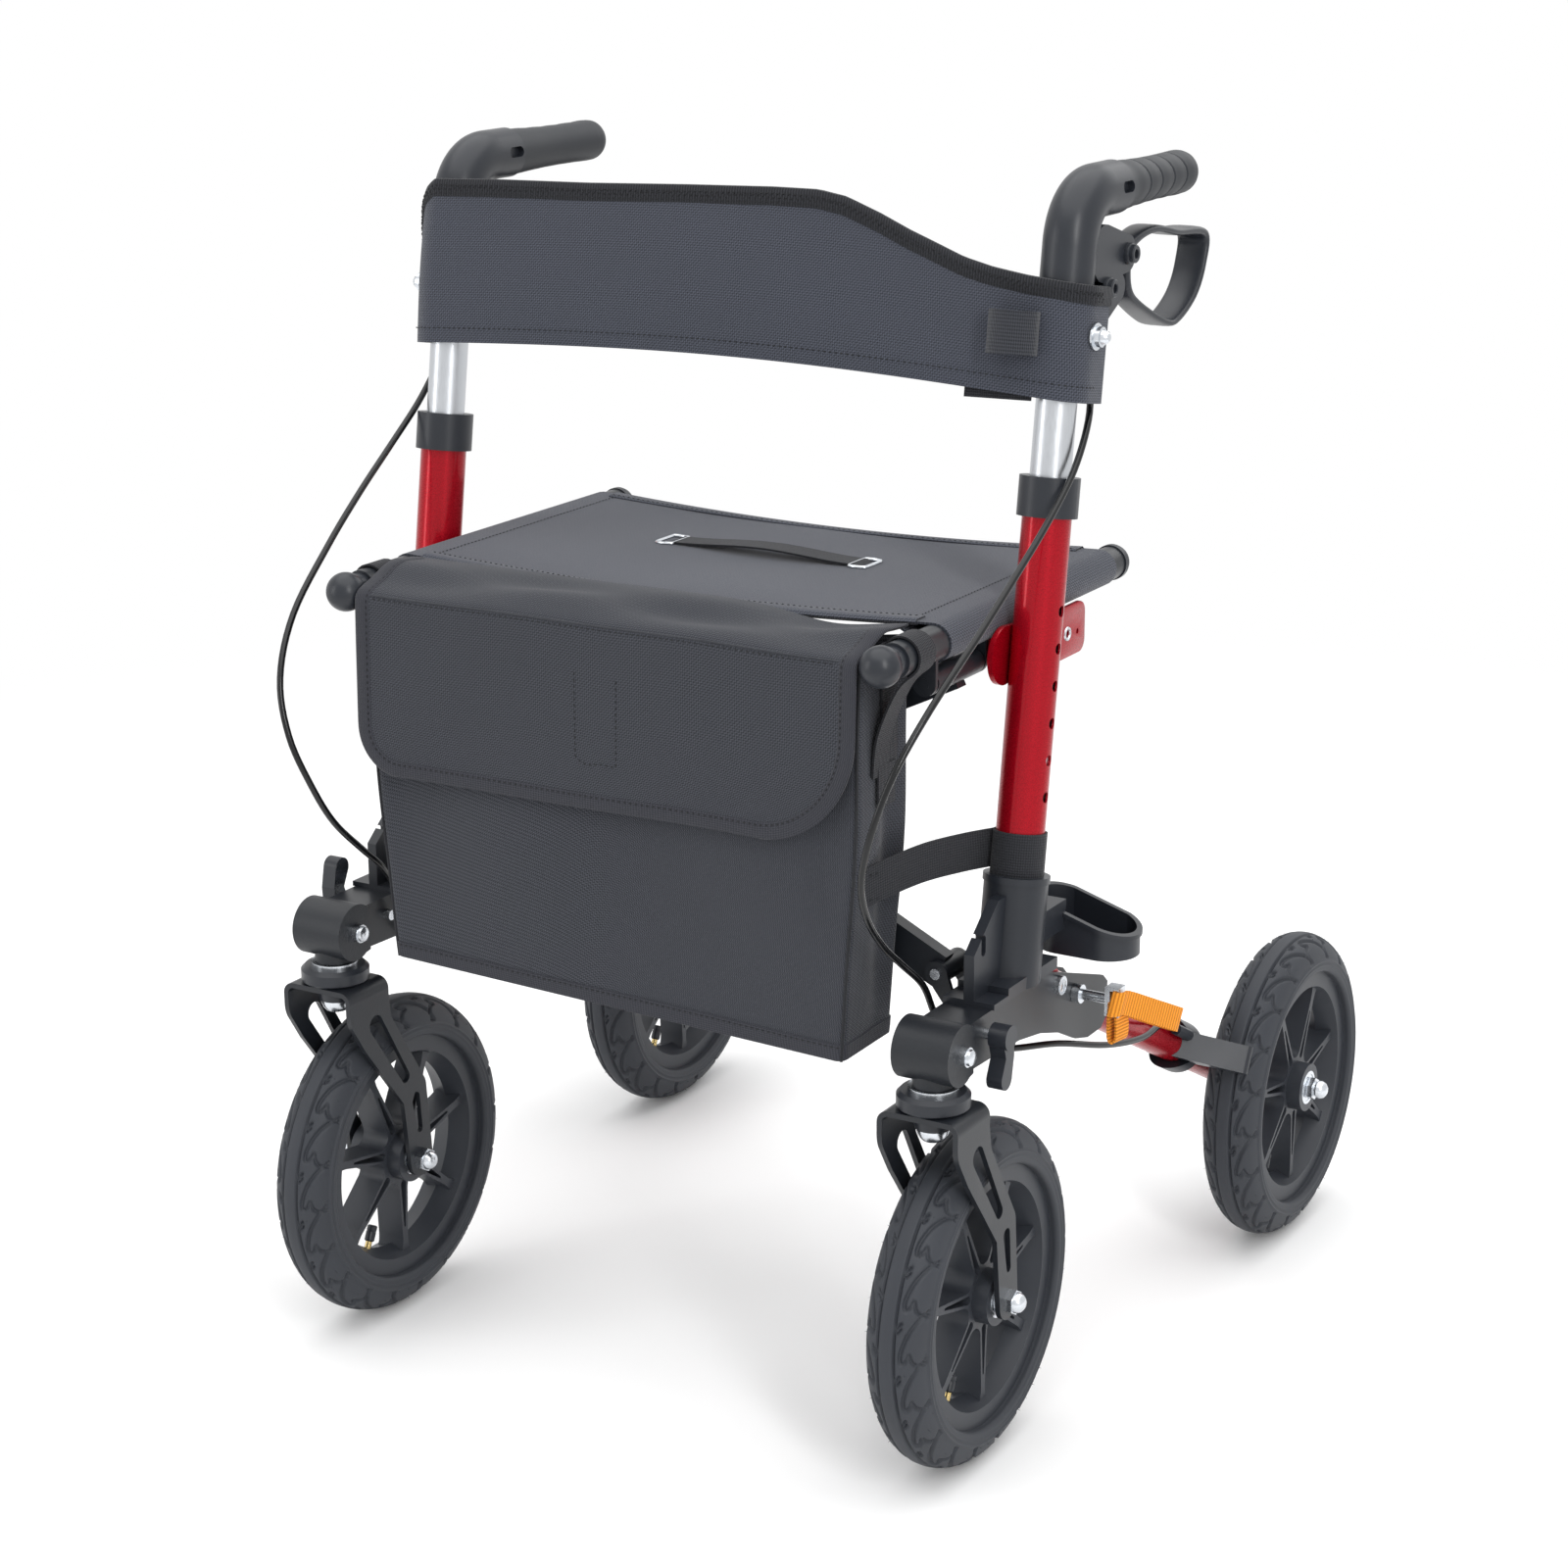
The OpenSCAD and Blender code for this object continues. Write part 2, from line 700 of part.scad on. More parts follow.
module side_channel(side) color("#1f2023") on_side(side) {
  difference() {
    across(frame_x - channel_half, frame_x + channel_half) channel_outline();
    translate([0, 0, -plate_t]) across(frame_x - channel_half + plate_t, frame_x + channel_half - plate_t)
      translate([-big, 0]) square([big + web_rear, channel_top]);
    across(frame_x - channel_half + plate_t, frame_x + channel_half - plate_t)
      translate([web_rear - over, 0]) square([big, big]);
    rod_x(0, big, pivot_y, pivot_z, bolt_d);
    rod_x(0, big, clamp_y, clamp_z, stud_d + 2 * fit);
    leg_frame() rod_x(-big, big, pin_t, 0, pin_d + 2 * fit);
  }
  // brace lugs on the inner plate
  for (y = [fold_y - sleeve_half - gap - lug_t, fold_y + sleeve_half + gap]) difference() {
    union() {
      rod_y(y, y + lug_t, fold_x, fold_low_z, sleeve_d);
      along(y, y + lug_t) polygon([[fold_x - sleeve_d / 2 + tuck, fold_low_z - lug_rib],
        [frame_x - channel_half, channel_top - bar_w], [frame_x - channel_half, channel_top],
        [frame_x - socket_d / 2 - gap, channel_top], [fold_x + sleeve_d / 2 - tuck, fold_low_z + lug_rib]]);
    }
    rod_y(y - over, y + lug_t + over, fold_x, fold_low_z, pin_d);
  }
}

// moulded socket with its flange, and the collar at the top of the red tube
module upright_mouldings(side) color("#242528") on_side(side) {
  difference() {
    union() {
      intersection() {
        upright_frame() translate([0, 0, -socket_d]) cylinder(d = socket_d, h = socket_d + socket_top);
        translate([0, base_y - big, base_z]) cube([2 * big, 2 * big, big]);
      }
      upright_frame() translate([0, 0, socket_top - socket_rim])
        cylinder(d = socket_d + 2 * socket_lip, h = socket_rim);
      translate([frame_x - foot_half, base_y - foot_reach, base_z])
        cube([2 * foot_half, 2 * foot_reach, foot_h]);
      across(frame_x - flange_half, frame_x + flange_half) translate([base_y, base_z])
        polygon([[-flange_reach[0], flange_rise[0]], [-flange_reach[1], flange_rise[0]],
          [-flange_reach[1], flange_rise[2]], [-flange_reach[1] - flange_top, flange_rise[2]],
          [-flange_reach[0], flange_rise[1]]]);
      translate([frame_x - foot_half, base_y - flange_reach[0], base_z])
        cube([2 * foot_half, flange_reach[0] - flange_reach[1], flange_foot]);
    }
    upright_frame() translate([0, 0, socket_floor]) cylinder(d = upright_d, h = big);
    slot = [base_y - flange_slot_back, base_z + flange_slot_rise];
    arm_across([for (k = [0, flange_slot_run]) [slot[0], slot[1] + k, flange_slot_r]],
      frame_x - big, frame_x + big);
  }
  upright_frame() difference() {
    translate([0, 0, collar_low]) cylinder(d = collar_d, h = upright_top + collar_roof - collar_low);
    translate([0, 0, collar_low - over]) cylinder(d = upright_d, h = upright_top - collar_low + over);
    cylinder(d = handle_tube_d + 2 * fit, h = big);
  }
}

module upright_tube(side) color("#c2121a") on_side(side) upright_frame() difference() {
  translate([0, 0, socket_floor]) cylinder(d = upright_d, h = upright_top - socket_floor);
  cylinder(d = upright_d - 2 * upright_wall, h = big);
  for (k = [0 : hole_count - 1]) translate([0, 0, hole_first + k * hole_pitch])
    rotate([0, 90, 0]) cylinder(d = hole_d, h = upright_d);
}

// red bracket welded inside the upright, with the saddle under the seat tube
module seat_support(side) color("#c2121a") on_side(side) difference() {
  union() {
    arm_across([for (k = [bracket_front, bracket_tail]) [bracket_y + k[0], bracket_z, k[1]]],
      bracket_x - bracket_t, bracket_x);
    translate([fold_x - saddle_wing, bracket_y + saddle_run[0], saddle_z])
      cube([bracket_x - fold_x + saddle_wing, saddle_run[1] - saddle_run[0],
        seat_tube_z - saddle_z - saddle_wing]);
  }
  rod_y(-big, big, fold_x, seat_tube_z, seat_tube_d + 2 * gap);
  for (h = [bracket_hole, bracket_hole_small]) rod_x(0, big, bracket_y + h[0], bracket_z, h[1]);
  upright_frame() cylinder(d = upright_d, h = big);
}

// fold brace bars: a runs from low left to high right, b from low right to high left
module brace_bar(y) difference() {
  union() {
    translate([fold_x, 0, fold_low_z]) rotate([0, brace_a - 180, 0]) translate([0, y, -bar_w / 2])
      cube([brace_len, bar_t, bar_w]);
    rod_y(fold_y - sleeve_half, fold_y + sleeve_half, fold_x, fold_low_z, sleeve_d);
    rod_y(fold_y - top_half, fold_y + top_half, -fold_x, fold_top_z, sleeve_d);
  }
  rod_y(-big, big, fold_x, fold_low_z, pin_d + 2 * fit);
  rod_y(-big, big, -fold_x, fold_top_z, pin_d + 2 * fit);
  rod_y(-big, big, 0, (fold_low_z + fold_top_z) / 2, pin_d + 2 * fit);
}

module cross_bar_a() color("#202124") brace_bar(fold_y - bar_t - bar_space / 2);

module cross_bar_b() color("#202124") {
  mirror([1, 0, 0]) brace_bar(fold_y + bar_space / 2);
  // centre bolt
  bar_side = bar_t + bar_space / 2;
  translate([0, fold_y, (fold_low_z + fold_top_z) / 2]) {
    rod_y(-bar_side - pin_proud, bar_side + pin_proud, 0, 0, pin_d);
    rod_y(-bar_side - gap - bolt_head_h, -bar_side - gap, 0, 0, bolt_head_d);
    rod_y(bar_side, bar_side + bolt_head_h, 0, 0, bolt_head_d);
  }
}

// seat tube with ball cap, rear plug and the two lugs of the brace
module seat_tube(side) color("#17181c") on_side(side) {
  difference() {
    union() {
      rod_y(seat_tube_y[0], seat_tube_y[1], fold_x, seat_tube_z, seat_tube_d);
      for (y = lug_y) {
        rod_y(y - lug_t / 2, y + lug_t / 2, fold_x, fold_top_z, sleeve_d);
        translate([fold_x - sleeve_d / 2, y - lug_t / 2, fold_top_z])
          cube([sleeve_d, lug_t, seat_tube_z - fold_top_z]);
      }
    }
    rod_y(seat_tube_y[0] - over, seat_tube_y[1] + over, fold_x, seat_tube_z,
      seat_tube_d - 2 * seat_tube_wall);
  }
  // pin on which the brace sleeve turns
  rod_y(lug_y[0] - pin_proud, lug_y[1] + pin_proud, fold_x, fold_top_z, pin_d);
  translate([fold_x, seat_tube_y[0], seat_tube_z]) {
    rod_y(-ball_neck_len, 0, 0, 0, ball_neck_d);
    translate([0, -ball_neck_len - ball_d * ball_sink_share, 0]) sphere(d = ball_d);
  }
  rod_y(seat_tube_y[1], seat_tube_y[1] + plug_len, fold_x, seat_tube_z, seat_tube_d + 2 * plug_proud);
}

// handle tube with its sprung height button
module handle_tube(side) color("#d3d5d8") on_side(side) upright_frame() {
  difference() {
    translate([0, 0, handle_low]) cylinder(d = handle_tube_d, h = elbow_s - handle_low);
    cylinder(d = handle_tube_d - 2 * handle_wall, h = 2 * big);
  }
  translate([0, 0, hole_first + button_step * hole_pitch]) rotate([0, 90, 0])
    cylinder(d = hole_d - button_slack, h = upright_d / 2 - upright_wall - button_short);
}

// moulded elbow with the cheeks of the lever, its pivot pin and screw heads
function at_pivot(list) = [for (p = list) [lever_p[0] + p[0], lever_p[1] + p[1], p[2]]];

module lever_slot(to) arm_across(at_pivot([[0, 0, lever_room], [to[0], to[1], lever_room]]),
  frame_x - lever_eye_half - gap, frame_x + lever_eye_half + gap);

module handle_housing(side) color("#232427") on_side(side) {
  rod_x(frame_x - cheek_half, frame_x + cheek_half, lever_p[0], lever_p[1], key_d);
  difference() {
    union() {
      upright_frame() {
        translate([0, 0, housing_s]) cylinder(d = elbow_d, h = elbow_s - housing_s);
        translate([0, elbow_r, elbow_s]) rotate([90, 0, -90]) rotate_extrude(angle = elbow_turn)
          translate([elbow_r, 0]) circle(d = elbow_d);
      }
      rod_y(elbow_y, grip_y, frame_x, handle_z, elbow_d);
      rod_y(grip_y, grip_y + grip_len - grip_end_wall, frame_x, handle_z, grip_core_d);
      arm_across(at_pivot(cheek), frame_x - cheek_half, frame_x + cheek_half);
      arm_across(at_pivot(cheek_low), frame_x - cheek_half, frame_x + cheek_half);
      for (p = [[0, 0], clamp_screw]) both_ends(cheek_half, screw_h)
        rod_x(0, screw_h, lever_p[0] + p[0], lever_p[1] + p[1], screw_d);
    }
    upright_frame() translate([0, 0, housing_s - over])
      cylinder(d = handle_tube_d, h = elbow_s - housing_s + over);
    // oblong windows beside the grip
    window_len = window_deep + big;
    both_ends(elbow_d / 2 - window_deep, window_len)
      arm_across([for (k = window_back) [grip_y - k, handle_z + window_rise, window_r]], 0, window_len);
    // room for the lever between the cheeks, and the hole that takes the cable
    for (to = lever_room_run) lever_slot(to);
    cable_run = cable_route[1] - cable_route[0];
    translate(cable_route[0] - tuck * unit(cable_run))
      rotate([0, acos(cable_run[2] / norm(cable_run)), atan2(cable_run[1], cable_run[0])])
      cylinder(d = cable_d + 2 * gap, h = 2 * norm(cable_run));
  }
}

// ribbed rubber grip with a rounded end
module grip(side) color("#2a2b2f") on_side(side) translate([frame_x, grip_y, handle_z]) rotate([-90, 0, 0])
  difference() {
    union() {
      rotate_extrude() polygon([[0, 0], [grip_d / 2, 0], [grip_d / 2, grip_len * grip_swell_shares[0]],
        [grip_d / 2 - grip_waist, grip_len * grip_swell_shares[1]],
        [grip_end_d / 2, grip_len - grip_end_d / 2], [0, grip_len - grip_end_d / 2]]);
      translate([0, 0, grip_len - grip_end_d / 2]) sphere(d = grip_end_d);
    }
    translate([0, 0, -over]) cylinder(d = grip_core_d, h = grip_len - grip_end_wall + over);
    for (k = [0 : grip_rib_count - 1]) translate([0, 0, grip_rib_first + k * grip_rib_pitch])
      rotate_extrude() translate([grip_d / 2, 0]) circle(r = grip_rib_r);
  }

// loop brake lever with its eye round the pivot
module brake_lever(side) color("#1f2023") on_side(side) difference() {
  union() {
    loop = [for (k = lever_shares)
      [lever_p[0] + k[0] * lever_len, lever_p[1] + k[1] * lever_deep, k[2] * lever_r]];
    arm_across(loop, frame_x - lever_half, frame_x + lever_half);
    arm_across([[lever_p[0], lever_p[1], lever_eye_r], loop[0]],
      frame_x - lever_eye_half, frame_x + lever_eye_half);
  }
  rod_x(0, big, lever_p[0], lever_p[1], key_d + 2 * fit);
}

// rear leg with its pivot and axle bosses
module rear_leg(side) color("#c2121a") on_side(side) difference() {
  union() {
    leg_frame() rod_y(0, leg_len, 0, 0, leg_d);
    rod_x(frame_x - leg_d / 2 + tuck, frame_x + leg_d / 2 - tuck, pivot_y, pivot_z, leg_d - tuck);
    rod_x(frame_x - leg_d / 2 - boss_proud, frame_x + leg_d / 2 + boss_proud, rear_y, axle_z, axle_boss_d);
  }
  leg_frame() rod_y(leg_bore[0], leg_len - leg_bore[1], 0, 0, leg_d - 2 * leg_wall);
  leg_frame() translate([0, leg_len - vent_back, -leg_d]) cylinder(d = vent_d, h = leg_d);
  rod_x(0, big, pivot_y, pivot_z, bolt_d + 2 * fit);
  rod_x(0, big, rear_y, axle_z, axle_d);
}

module rear_axle(side) color("#c9ccd0") on_side(side) {
  boss = leg_d / 2 + boss_proud;
  rod_x(frame_x - boss - nut_h, rear_wheel_x + hub_half + nut_h + axle_proud, rear_y, axle_z, axle_d);
  hex_x(rear_wheel_x + hub_half + gap, rear_wheel_x + hub_half + nut_h, rear_y, axle_z, nut_d);
  hex_x(frame_x - boss - nut_h, frame_x - boss, rear_y, axle_z, nut_d);
  rod_x(frame_x + boss, rear_wheel_x - hub_half - gap, rear_y, axle_z, spacer_d);
}

// brake block: sleeve on the leg, wedge arm in front of the tyre, cable adjuster
module brake_block(side) color("#222326") on_side(side) leg_frame() difference() {
  cut_t = brake_t[0] + brake_cut_run;
  union() {
    difference() {
      rod_y(brake_t[0], brake_t[1], 0, 0, brake_d);
      translate([0, cut_t, brake_d / 2]) rotate([brake_cut_a, 0, 0])
        translate([-brake_d, -2 * brake_d, -brake_d]) cube([2 * brake_d, 2 * brake_d, 3 * brake_d]);
    }
    arm_rising([[0, shoe_t - arm_back, arm_r], [rear_wheel_x - frame_x + shoe_past, shoe_t - shoe_r, shoe_r]],
      -shoe_half, shoe_half);
    rod_y(cut_t - adjuster_len, cut_t + brake_d / 4, adjuster_out, adjuster_rise, adjuster_d);
  }
  rod_y(-big, 2 * big, 0, 0, leg_d + 2 * fit);
}

// sprung lock pin with its slotted pull head
module lock_pin(side) color("#c9ccd0") on_side(side) translate([frame_x, pin_y, pin_z]) difference() {
  union() {
    rod_x(leg_d / 2 + pin_reach, pin_head_out + tuck, 0, 0, pin_d);
    rod_x(channel_half + gap, channel_half + gap + pin_ring_t, 0, 0, pin_ring_d);
    translate([pin_head_out, -pin_head[1], -pin_head[2]])
      cube([pin_head[0], 2 * pin_head[1], 2 * pin_head[2]]);
  }
  translate([pin_head_out + pin_slot[0], -big, -pin_slot[2]]) cube([pin_slot[1], 2 * big, 2 * pin_slot[2]]);
}

module pull_strap(side) color("#f08a1c") on_side(side) translate([strap_x, pin_y, pin_z])
  arm_rising([for (k = strap_shares) [k[0] * strap_out, k[1] * strap_len, strap_t / 2]],
    -strap_w / 2, strap_w / 2);

module clamp_lever(side) color("#1f2023") on_side(side) translate([0, clamp_y, clamp_z])
  rotate([side > 0 ? 0 : 180, 0, 0]) {
    rod_x(frame_x - channel_half - nut_h, wing_x + tuck, 0, 0, stud_d);
    rod_x(wing_x, wing_x + wing_t, 0, 0, wing_hub_d);
    arm_across([for (k = wing_shares) [k[0] * wing_len, k[1] * wing_len, k[2] * wing_r]],
      wing_x, wing_x + wing_t - wing_step);
  }

// bolts and pins of one side
module cross_bolt(half, y, z) {
  rod_x(frame_x - half - bolt_head_h, frame_x + half + bolt_head_h, y, z, bolt_d);
  both_ends(half, bolt_head_h) rod_x(0, bolt_head_h, y, z, bolt_head_d);
}

module side_bolts(side) color("#c9ccd0") on_side(side) {
  cross_bolt(lobe_half, caster_y, lobe_z);
  cross_bolt(channel_half, pivot_y, pivot_z);
  // pin of the fold brace
  rod_y(fold_y - sleeve_half - lug_t - pin_proud, fold_y + sleeve_half + lug_t + pin_proud,
    fold_x, fold_low_z, pin_d);
}

// cane cup clipped behind the left socket: d shaped, with a slanted rim and a lip
module above_rim(drop) translate([cup_x, 0, base_z + cup_rim - drop]) rotate([0, cup_slope, 0])
  translate([-big, -big, 0]) cube([2 * big, 2 * big, big]);

module cup_body(grow, low) difference() {
  arm_rising([for (k = cup_out) [frame_x + k, cup_y, cup_r + grow]], low, base_z + cup_high);
  translate([0, cup_y + cup_flat + grow, 0]) cube([big, big, 2 * big]);
  above_rim(0);
}

module cane_cup() color("#26272a") difference() {
  union() {
    cup_body(0, base_z + cup_low);
    intersection() {
      cup_body(cup_lip, base_z + cup_low);
      above_rim(cup_lip_h);
    }
    translate([frame_x - clip_half, base_y + clip_reach[0], base_z + clip_z[0]])
      cube([2 * clip_half, clip_reach[1] - clip_reach[0], clip_z[1] - clip_z[0]]);
  }
  translate([0, 0, over]) cup_body(-cup_wall, base_z + cup_low + cup_wall);
  upright_frame() cylinder(d = socket_d, h = big);
}

// brake cable: one unbroken tube along its smoothed route
function spline(p, i, t) = let (a = p[max(i - 1, 0)], b = p[i], c = p[i + 1], d = p[min(i + 2, len(p) - 1)])
  (2 * b + (c - a) * t + (2 * a - 5 * b + 4 * c - d) * t * t + (3 * b - a - 3 * c + d) * t * t * t) / 2;

function smooth(p, n) =
  concat([for (i = [0 : len(p) - 2]) for (k = [0 : n - 1]) spline(p, i, k / n)], [p[len(p) - 1]]);

function unit(v) = v / norm(v);

// closed skin over rings of points that follow each other
module ring_skin(rings) {
  n = len(rings);
  m = len(rings[0]);
  skin = [for (i = [0 : n - 2]) for (k = [0 : m - 1])
    [i * m + k, (i + 1) * m + k, (i + 1) * m + (k + 1) % m, i * m + (k + 1) % m]];
  ends = [[for (k = [0 : m - 1]) k], [for (k = [1 : m]) n * m - k]];
  polyhedron([for (ring = rings) for (p = ring) p], concat(skin, ends));
}

module tube_along(p, d, sides) {
  last = len(p) - 1;
  ring_skin([for (i = [0 : last]) let (dir = unit(p[min(i + 1, last)] - p[max(i - 1, 0)]),
    u = unit(cross(dir, [1, 0, 0])), v = cross(dir, u))
    [for (k = [0 : sides - 1]) p[i] + d / 2 * (cos(360 * k / sides) * u + sin(360 * k / sides) * v)]]);
}

module brake_cable(side) color("#17181a") on_side(side)
  tube_along(smooth(cable_route, cable_steps), cable_d, cable_sides);

// webbing from the upright to the side of the bag
module side_strap(side) color("#1b1c1e") on_side(side) {
  upright_frame() difference() {
    translate([0, 0, socket_top + tuck]) cylinder(d = upright_d + 2 * tie_t, h = tie_top - socket_top - tuck);
    cylinder(d = upright_d, h = big);
  }
  difference() {
    arm_rising([[frame_x - tie_start[0], base_y + tie_start[1], tie_half],
      [bag_w / 2 - tie_end[0], bag_y + tie_end[1], tie_half]],
      base_z + socket_top + tuck, base_z + tie_top - tie_edge);
    upright_frame() cylinder(d = upright_d + 2 * tie_t, h = big);
  }
}

// cloth seat: sleeves on both seat tubes and a sagging panel
function seat_line(x) = seat_tube_z + seat_tube_d / 2 + fit + sleeve_t - seat_sag * (1 - pow(x / fold_x, 2));

function seat_edge(drop) = [for (k = [-seat_steps : seat_steps]) let (x = k * fold_x / seat_steps)
  [drop > 0 ? -x : x, seat_line(x) - drop]];

module seat_fabric() color("#34363c") difference() {
  union() {
    along(seat_y[0], seat_y[1]) polygon(concat(seat_edge(0), seat_edge(seat_t)));
    for (s = [-1, 1])
      rod_y(seat_y[0], seat_y[1], s * fold_x, seat_tube_z, seat_tube_d + 2 * (fit + sleeve_t + inset));
  }
  for (s = [-1, 1]) {
    rod_y(-big, big, s * fold_x, seat_tube_z, seat_tube_d + 2 * fit);
    translate([s * slot_x - slot_half[0], slot_y - slot_half[1], 0])
      cube([2 * slot_half[0], 2 * slot_half[1], 2 * big]);
    // room for the lugs and the saddles under the tubes
    for (y = lug_y) translate([s * fold_x - sleeve_d, y - lug_t, 0])
      cube([2 * sleeve_d, 2 * lug_t, seat_tube_z - over]);
    translate([s * fold_x - sleeve_d, bracket_y + saddle_run[0] - over, 0])
      cube([2 * sleeve_d, saddle_run[1] - saddle_run[0] + 2 * over, seat_tube_z - over]);
  }
}

// pull strap with a wire frame in each slot
module seat_strap() color("#1b1c1e") {
  translate([-slot_x, slot_y - pull_half, seat_line(0) + pull_t]) cube([2 * slot_x, 2 * pull_half, pull_t]);
  for (s = [-1, 1]) translate([s * slot_x - wire_t / 2, slot_y - pull_half, seat_line(0) - wire_t])
    cube([wire_t, 2 * pull_half, wire_t + pull_t + wire_rise]);
}

// back band wrapped round both handle housings
function band_foot(x) = band_end_low + (band_low - band_end_low) * cos(90 * x / band_half);

module band_plan(half, front, back, r) {
  translate([-half, front + r]) square([2 * half, back - front - r]);
  translate([r - half, front]) square([2 * (half - r), back - front]);
  for (s = [-1, 1]) translate([s * (half - r), front + r]) circle(r = r);
}

module back_band() color("#303238") band_frame() intersection() {
  rising(0, 2 * big) difference() {
    band_plan(band_half, band_in_y - band_t, band_back, band_r);
    band_plan(band_half - band_t, band_in_y, band_back + band_r, band_r - band_t);
  }
  end_top = band_end_low + band_end_h;
  top = [for (k = band_top_shares) [k[0] * band_half, end_top + k[1] * (band_low + band_h - end_top)]];
  foot = [for (k = [-band_steps : band_steps]) let (x = -k * band_half / band_steps) [x, band_foot(x)]];
  along(-big, big) polygon(concat(top, foot));
}

// soft bag, open at the top and hung from both seat tubes
function soft(a) = sign(a) * pow(abs(a), bag_corner_share);

function bag_ring(u, shrink, low, high) = [for (k = [0 : bag_points - 1]) let (a = 360 * k / bag_points,
  x = (bag_w / 2 - shrink - bag_taper * (1 - u) * (1 - u)) * soft(cos(a)),
  bow = bag_bulge * 4 * u * (1 - u) * pow(cos(90 * x / bag_w), 2),
  y = bag_y + bag_depth / 2 + (bag_depth / 2 - shrink - bag_bulge + bow) * soft(sin(a)))
  [x, y, low + (high - low) * u - bag_tilt_share * x * (1 - u)]];

module bag_form(shrink, low, high)
  ring_skin([for (i = [0 : bag_levels]) bag_ring(i / bag_levels, shrink, low, high)]);

module bag_body() color("#2b2d33") {
  difference() {
    bag_form(0, bag_z[0], bag_z[1]);
    bag_form(bag_wall, bag_z[0] + bag_wall, bag_z[1] + over);
  }
  // hanging loops over the seat tubes
  for (s = [1, -1]) on_side(s) difference() {
    union() {
      rod_y(loop_y[0], loop_y[1], fold_x, seat_tube_z, 2 * loop_r);
      along(loop_y[0], loop_y[1]) polygon([loop_foot, [loop_foot[0] + loop_t, loop_foot[1]],
        [fold_x - loop_r + loop_t, seat_tube_z], [fold_x - loop_r + inset, seat_tube_z]]);
    }
    rod_y(-big, big, fold_x, seat_tube_z, seat_tube_d + 2 * fit);
  }
}

// flap over the bag's mouth, with two round corners
module bag_flap() color("#303238") difference() {
  run = flap_back_y - flap_front_y;
  corner_cut = flap_corner + over;
  lip = [for (k = flap_lip_shares) [flap_front_y + k[0] * run, bag_z[1] + k[1] * flap_top, flap_t]];
  hang = [for (k = flap_hang_shares) [flap_front_y + k[0] * run, bag_z[1] - k[1] * flap_hang, flap_t]];
  arm_across(concat(lip, hang), -flap_half, flap_half);
  for (s = [-1, 1]) difference() {
    translate([s * (flap_half + over) - (s > 0 ? corner_cut : 0), -big, flap_low - flap_corner])
      cube([corner_cut, big, 2 * flap_corner]);
    rod_y(-big, 0, s * (flap_half - flap_corner), flap_low + flap_corner, 2 * flap_corner);
  }
}

side_channel(1);  // left_side_channel
upright_mouldings(1);  // left_upright_mouldings
upright_tube(1);  // left_upright_tube
seat_support(1);  // left_seat_support
caster_knuckle(1);  // left_caster_knuckle
clamp_lever(1);  // left_clamp_lever
caster_fork(1);  // left_caster_fork
caster_headset(1);  // left_caster_headset
caster_hardware(1);  // left_caster_hardware
front_tyre(1);  // left_front_tyre
front_rim(1);  // left_front_rim
rear_leg(1);  // left_rear_leg
rear_tyre(1);  // left_rear_tyre
rear_rim(1);  // left_rear_rim
rear_axle(1);  // left_rear_axle
brake_block(1);  // left_brake_block
brake_cable(1);  // left_brake_cable
handle_tube(1);  // left_handle_tube
handle_housing(1);  // left_handle_housing
grip(1);  // left_grip
brake_lever(1);  // left_brake_lever
lock_pin(1);  // left_lock_pin
pull_strap(1);  // left_pull_strap
seat_tube(1);  // left_seat_tube
side_bolts(1);  // left_side_bolts
side_strap(1);  // left_side_strap
side_channel(-1);  // right_side_channel
upright_mouldings(-1);  // right_upright_mouldings
upright_tube(-1);  // right_upright_tube
seat_support(-1);  // right_seat_support
caster_knuckle(-1);  // right_caster_knuckle
clamp_lever(-1);  // right_clamp_lever
caster_fork(-1);  // right_caster_fork
caster_headset(-1);  // right_caster_headset
caster_hardware(-1);  // right_caster_hardware
front_tyre(-1);  // right_front_tyre
front_rim(-1);  // right_front_rim
rear_leg(-1);  // right_rear_leg
rear_tyre(-1);  // right_rear_tyre
rear_rim(-1);  // right_rear_rim
rear_axle(-1);  // right_rear_axle
brake_block(-1);  // right_brake_block
brake_cable(-1);  // right_brake_cable
handle_tube(-1);  // right_handle_tube
handle_housing(-1);  // right_handle_housing
grip(-1);  // right_grip
brake_lever(-1);  // right_brake_lever
lock_pin(-1);  // right_lock_pin
pull_strap(-1);  // right_pull_strap
seat_tube(-1);  // right_seat_tube
side_bolts(-1);  // right_side_bolts
side_strap(-1);  // right_side_strap
cross_bar_a();
cross_bar_b();
cane_cup();
seat_fabric();
seat_strap();
back_band();
bag_body();
bag_flap();
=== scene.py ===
"""All terrain rollator: finishes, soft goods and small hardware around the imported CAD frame."""
import math
import random

import bmesh
import bpy
import numpy as np
from mathutils import Matrix, Vector


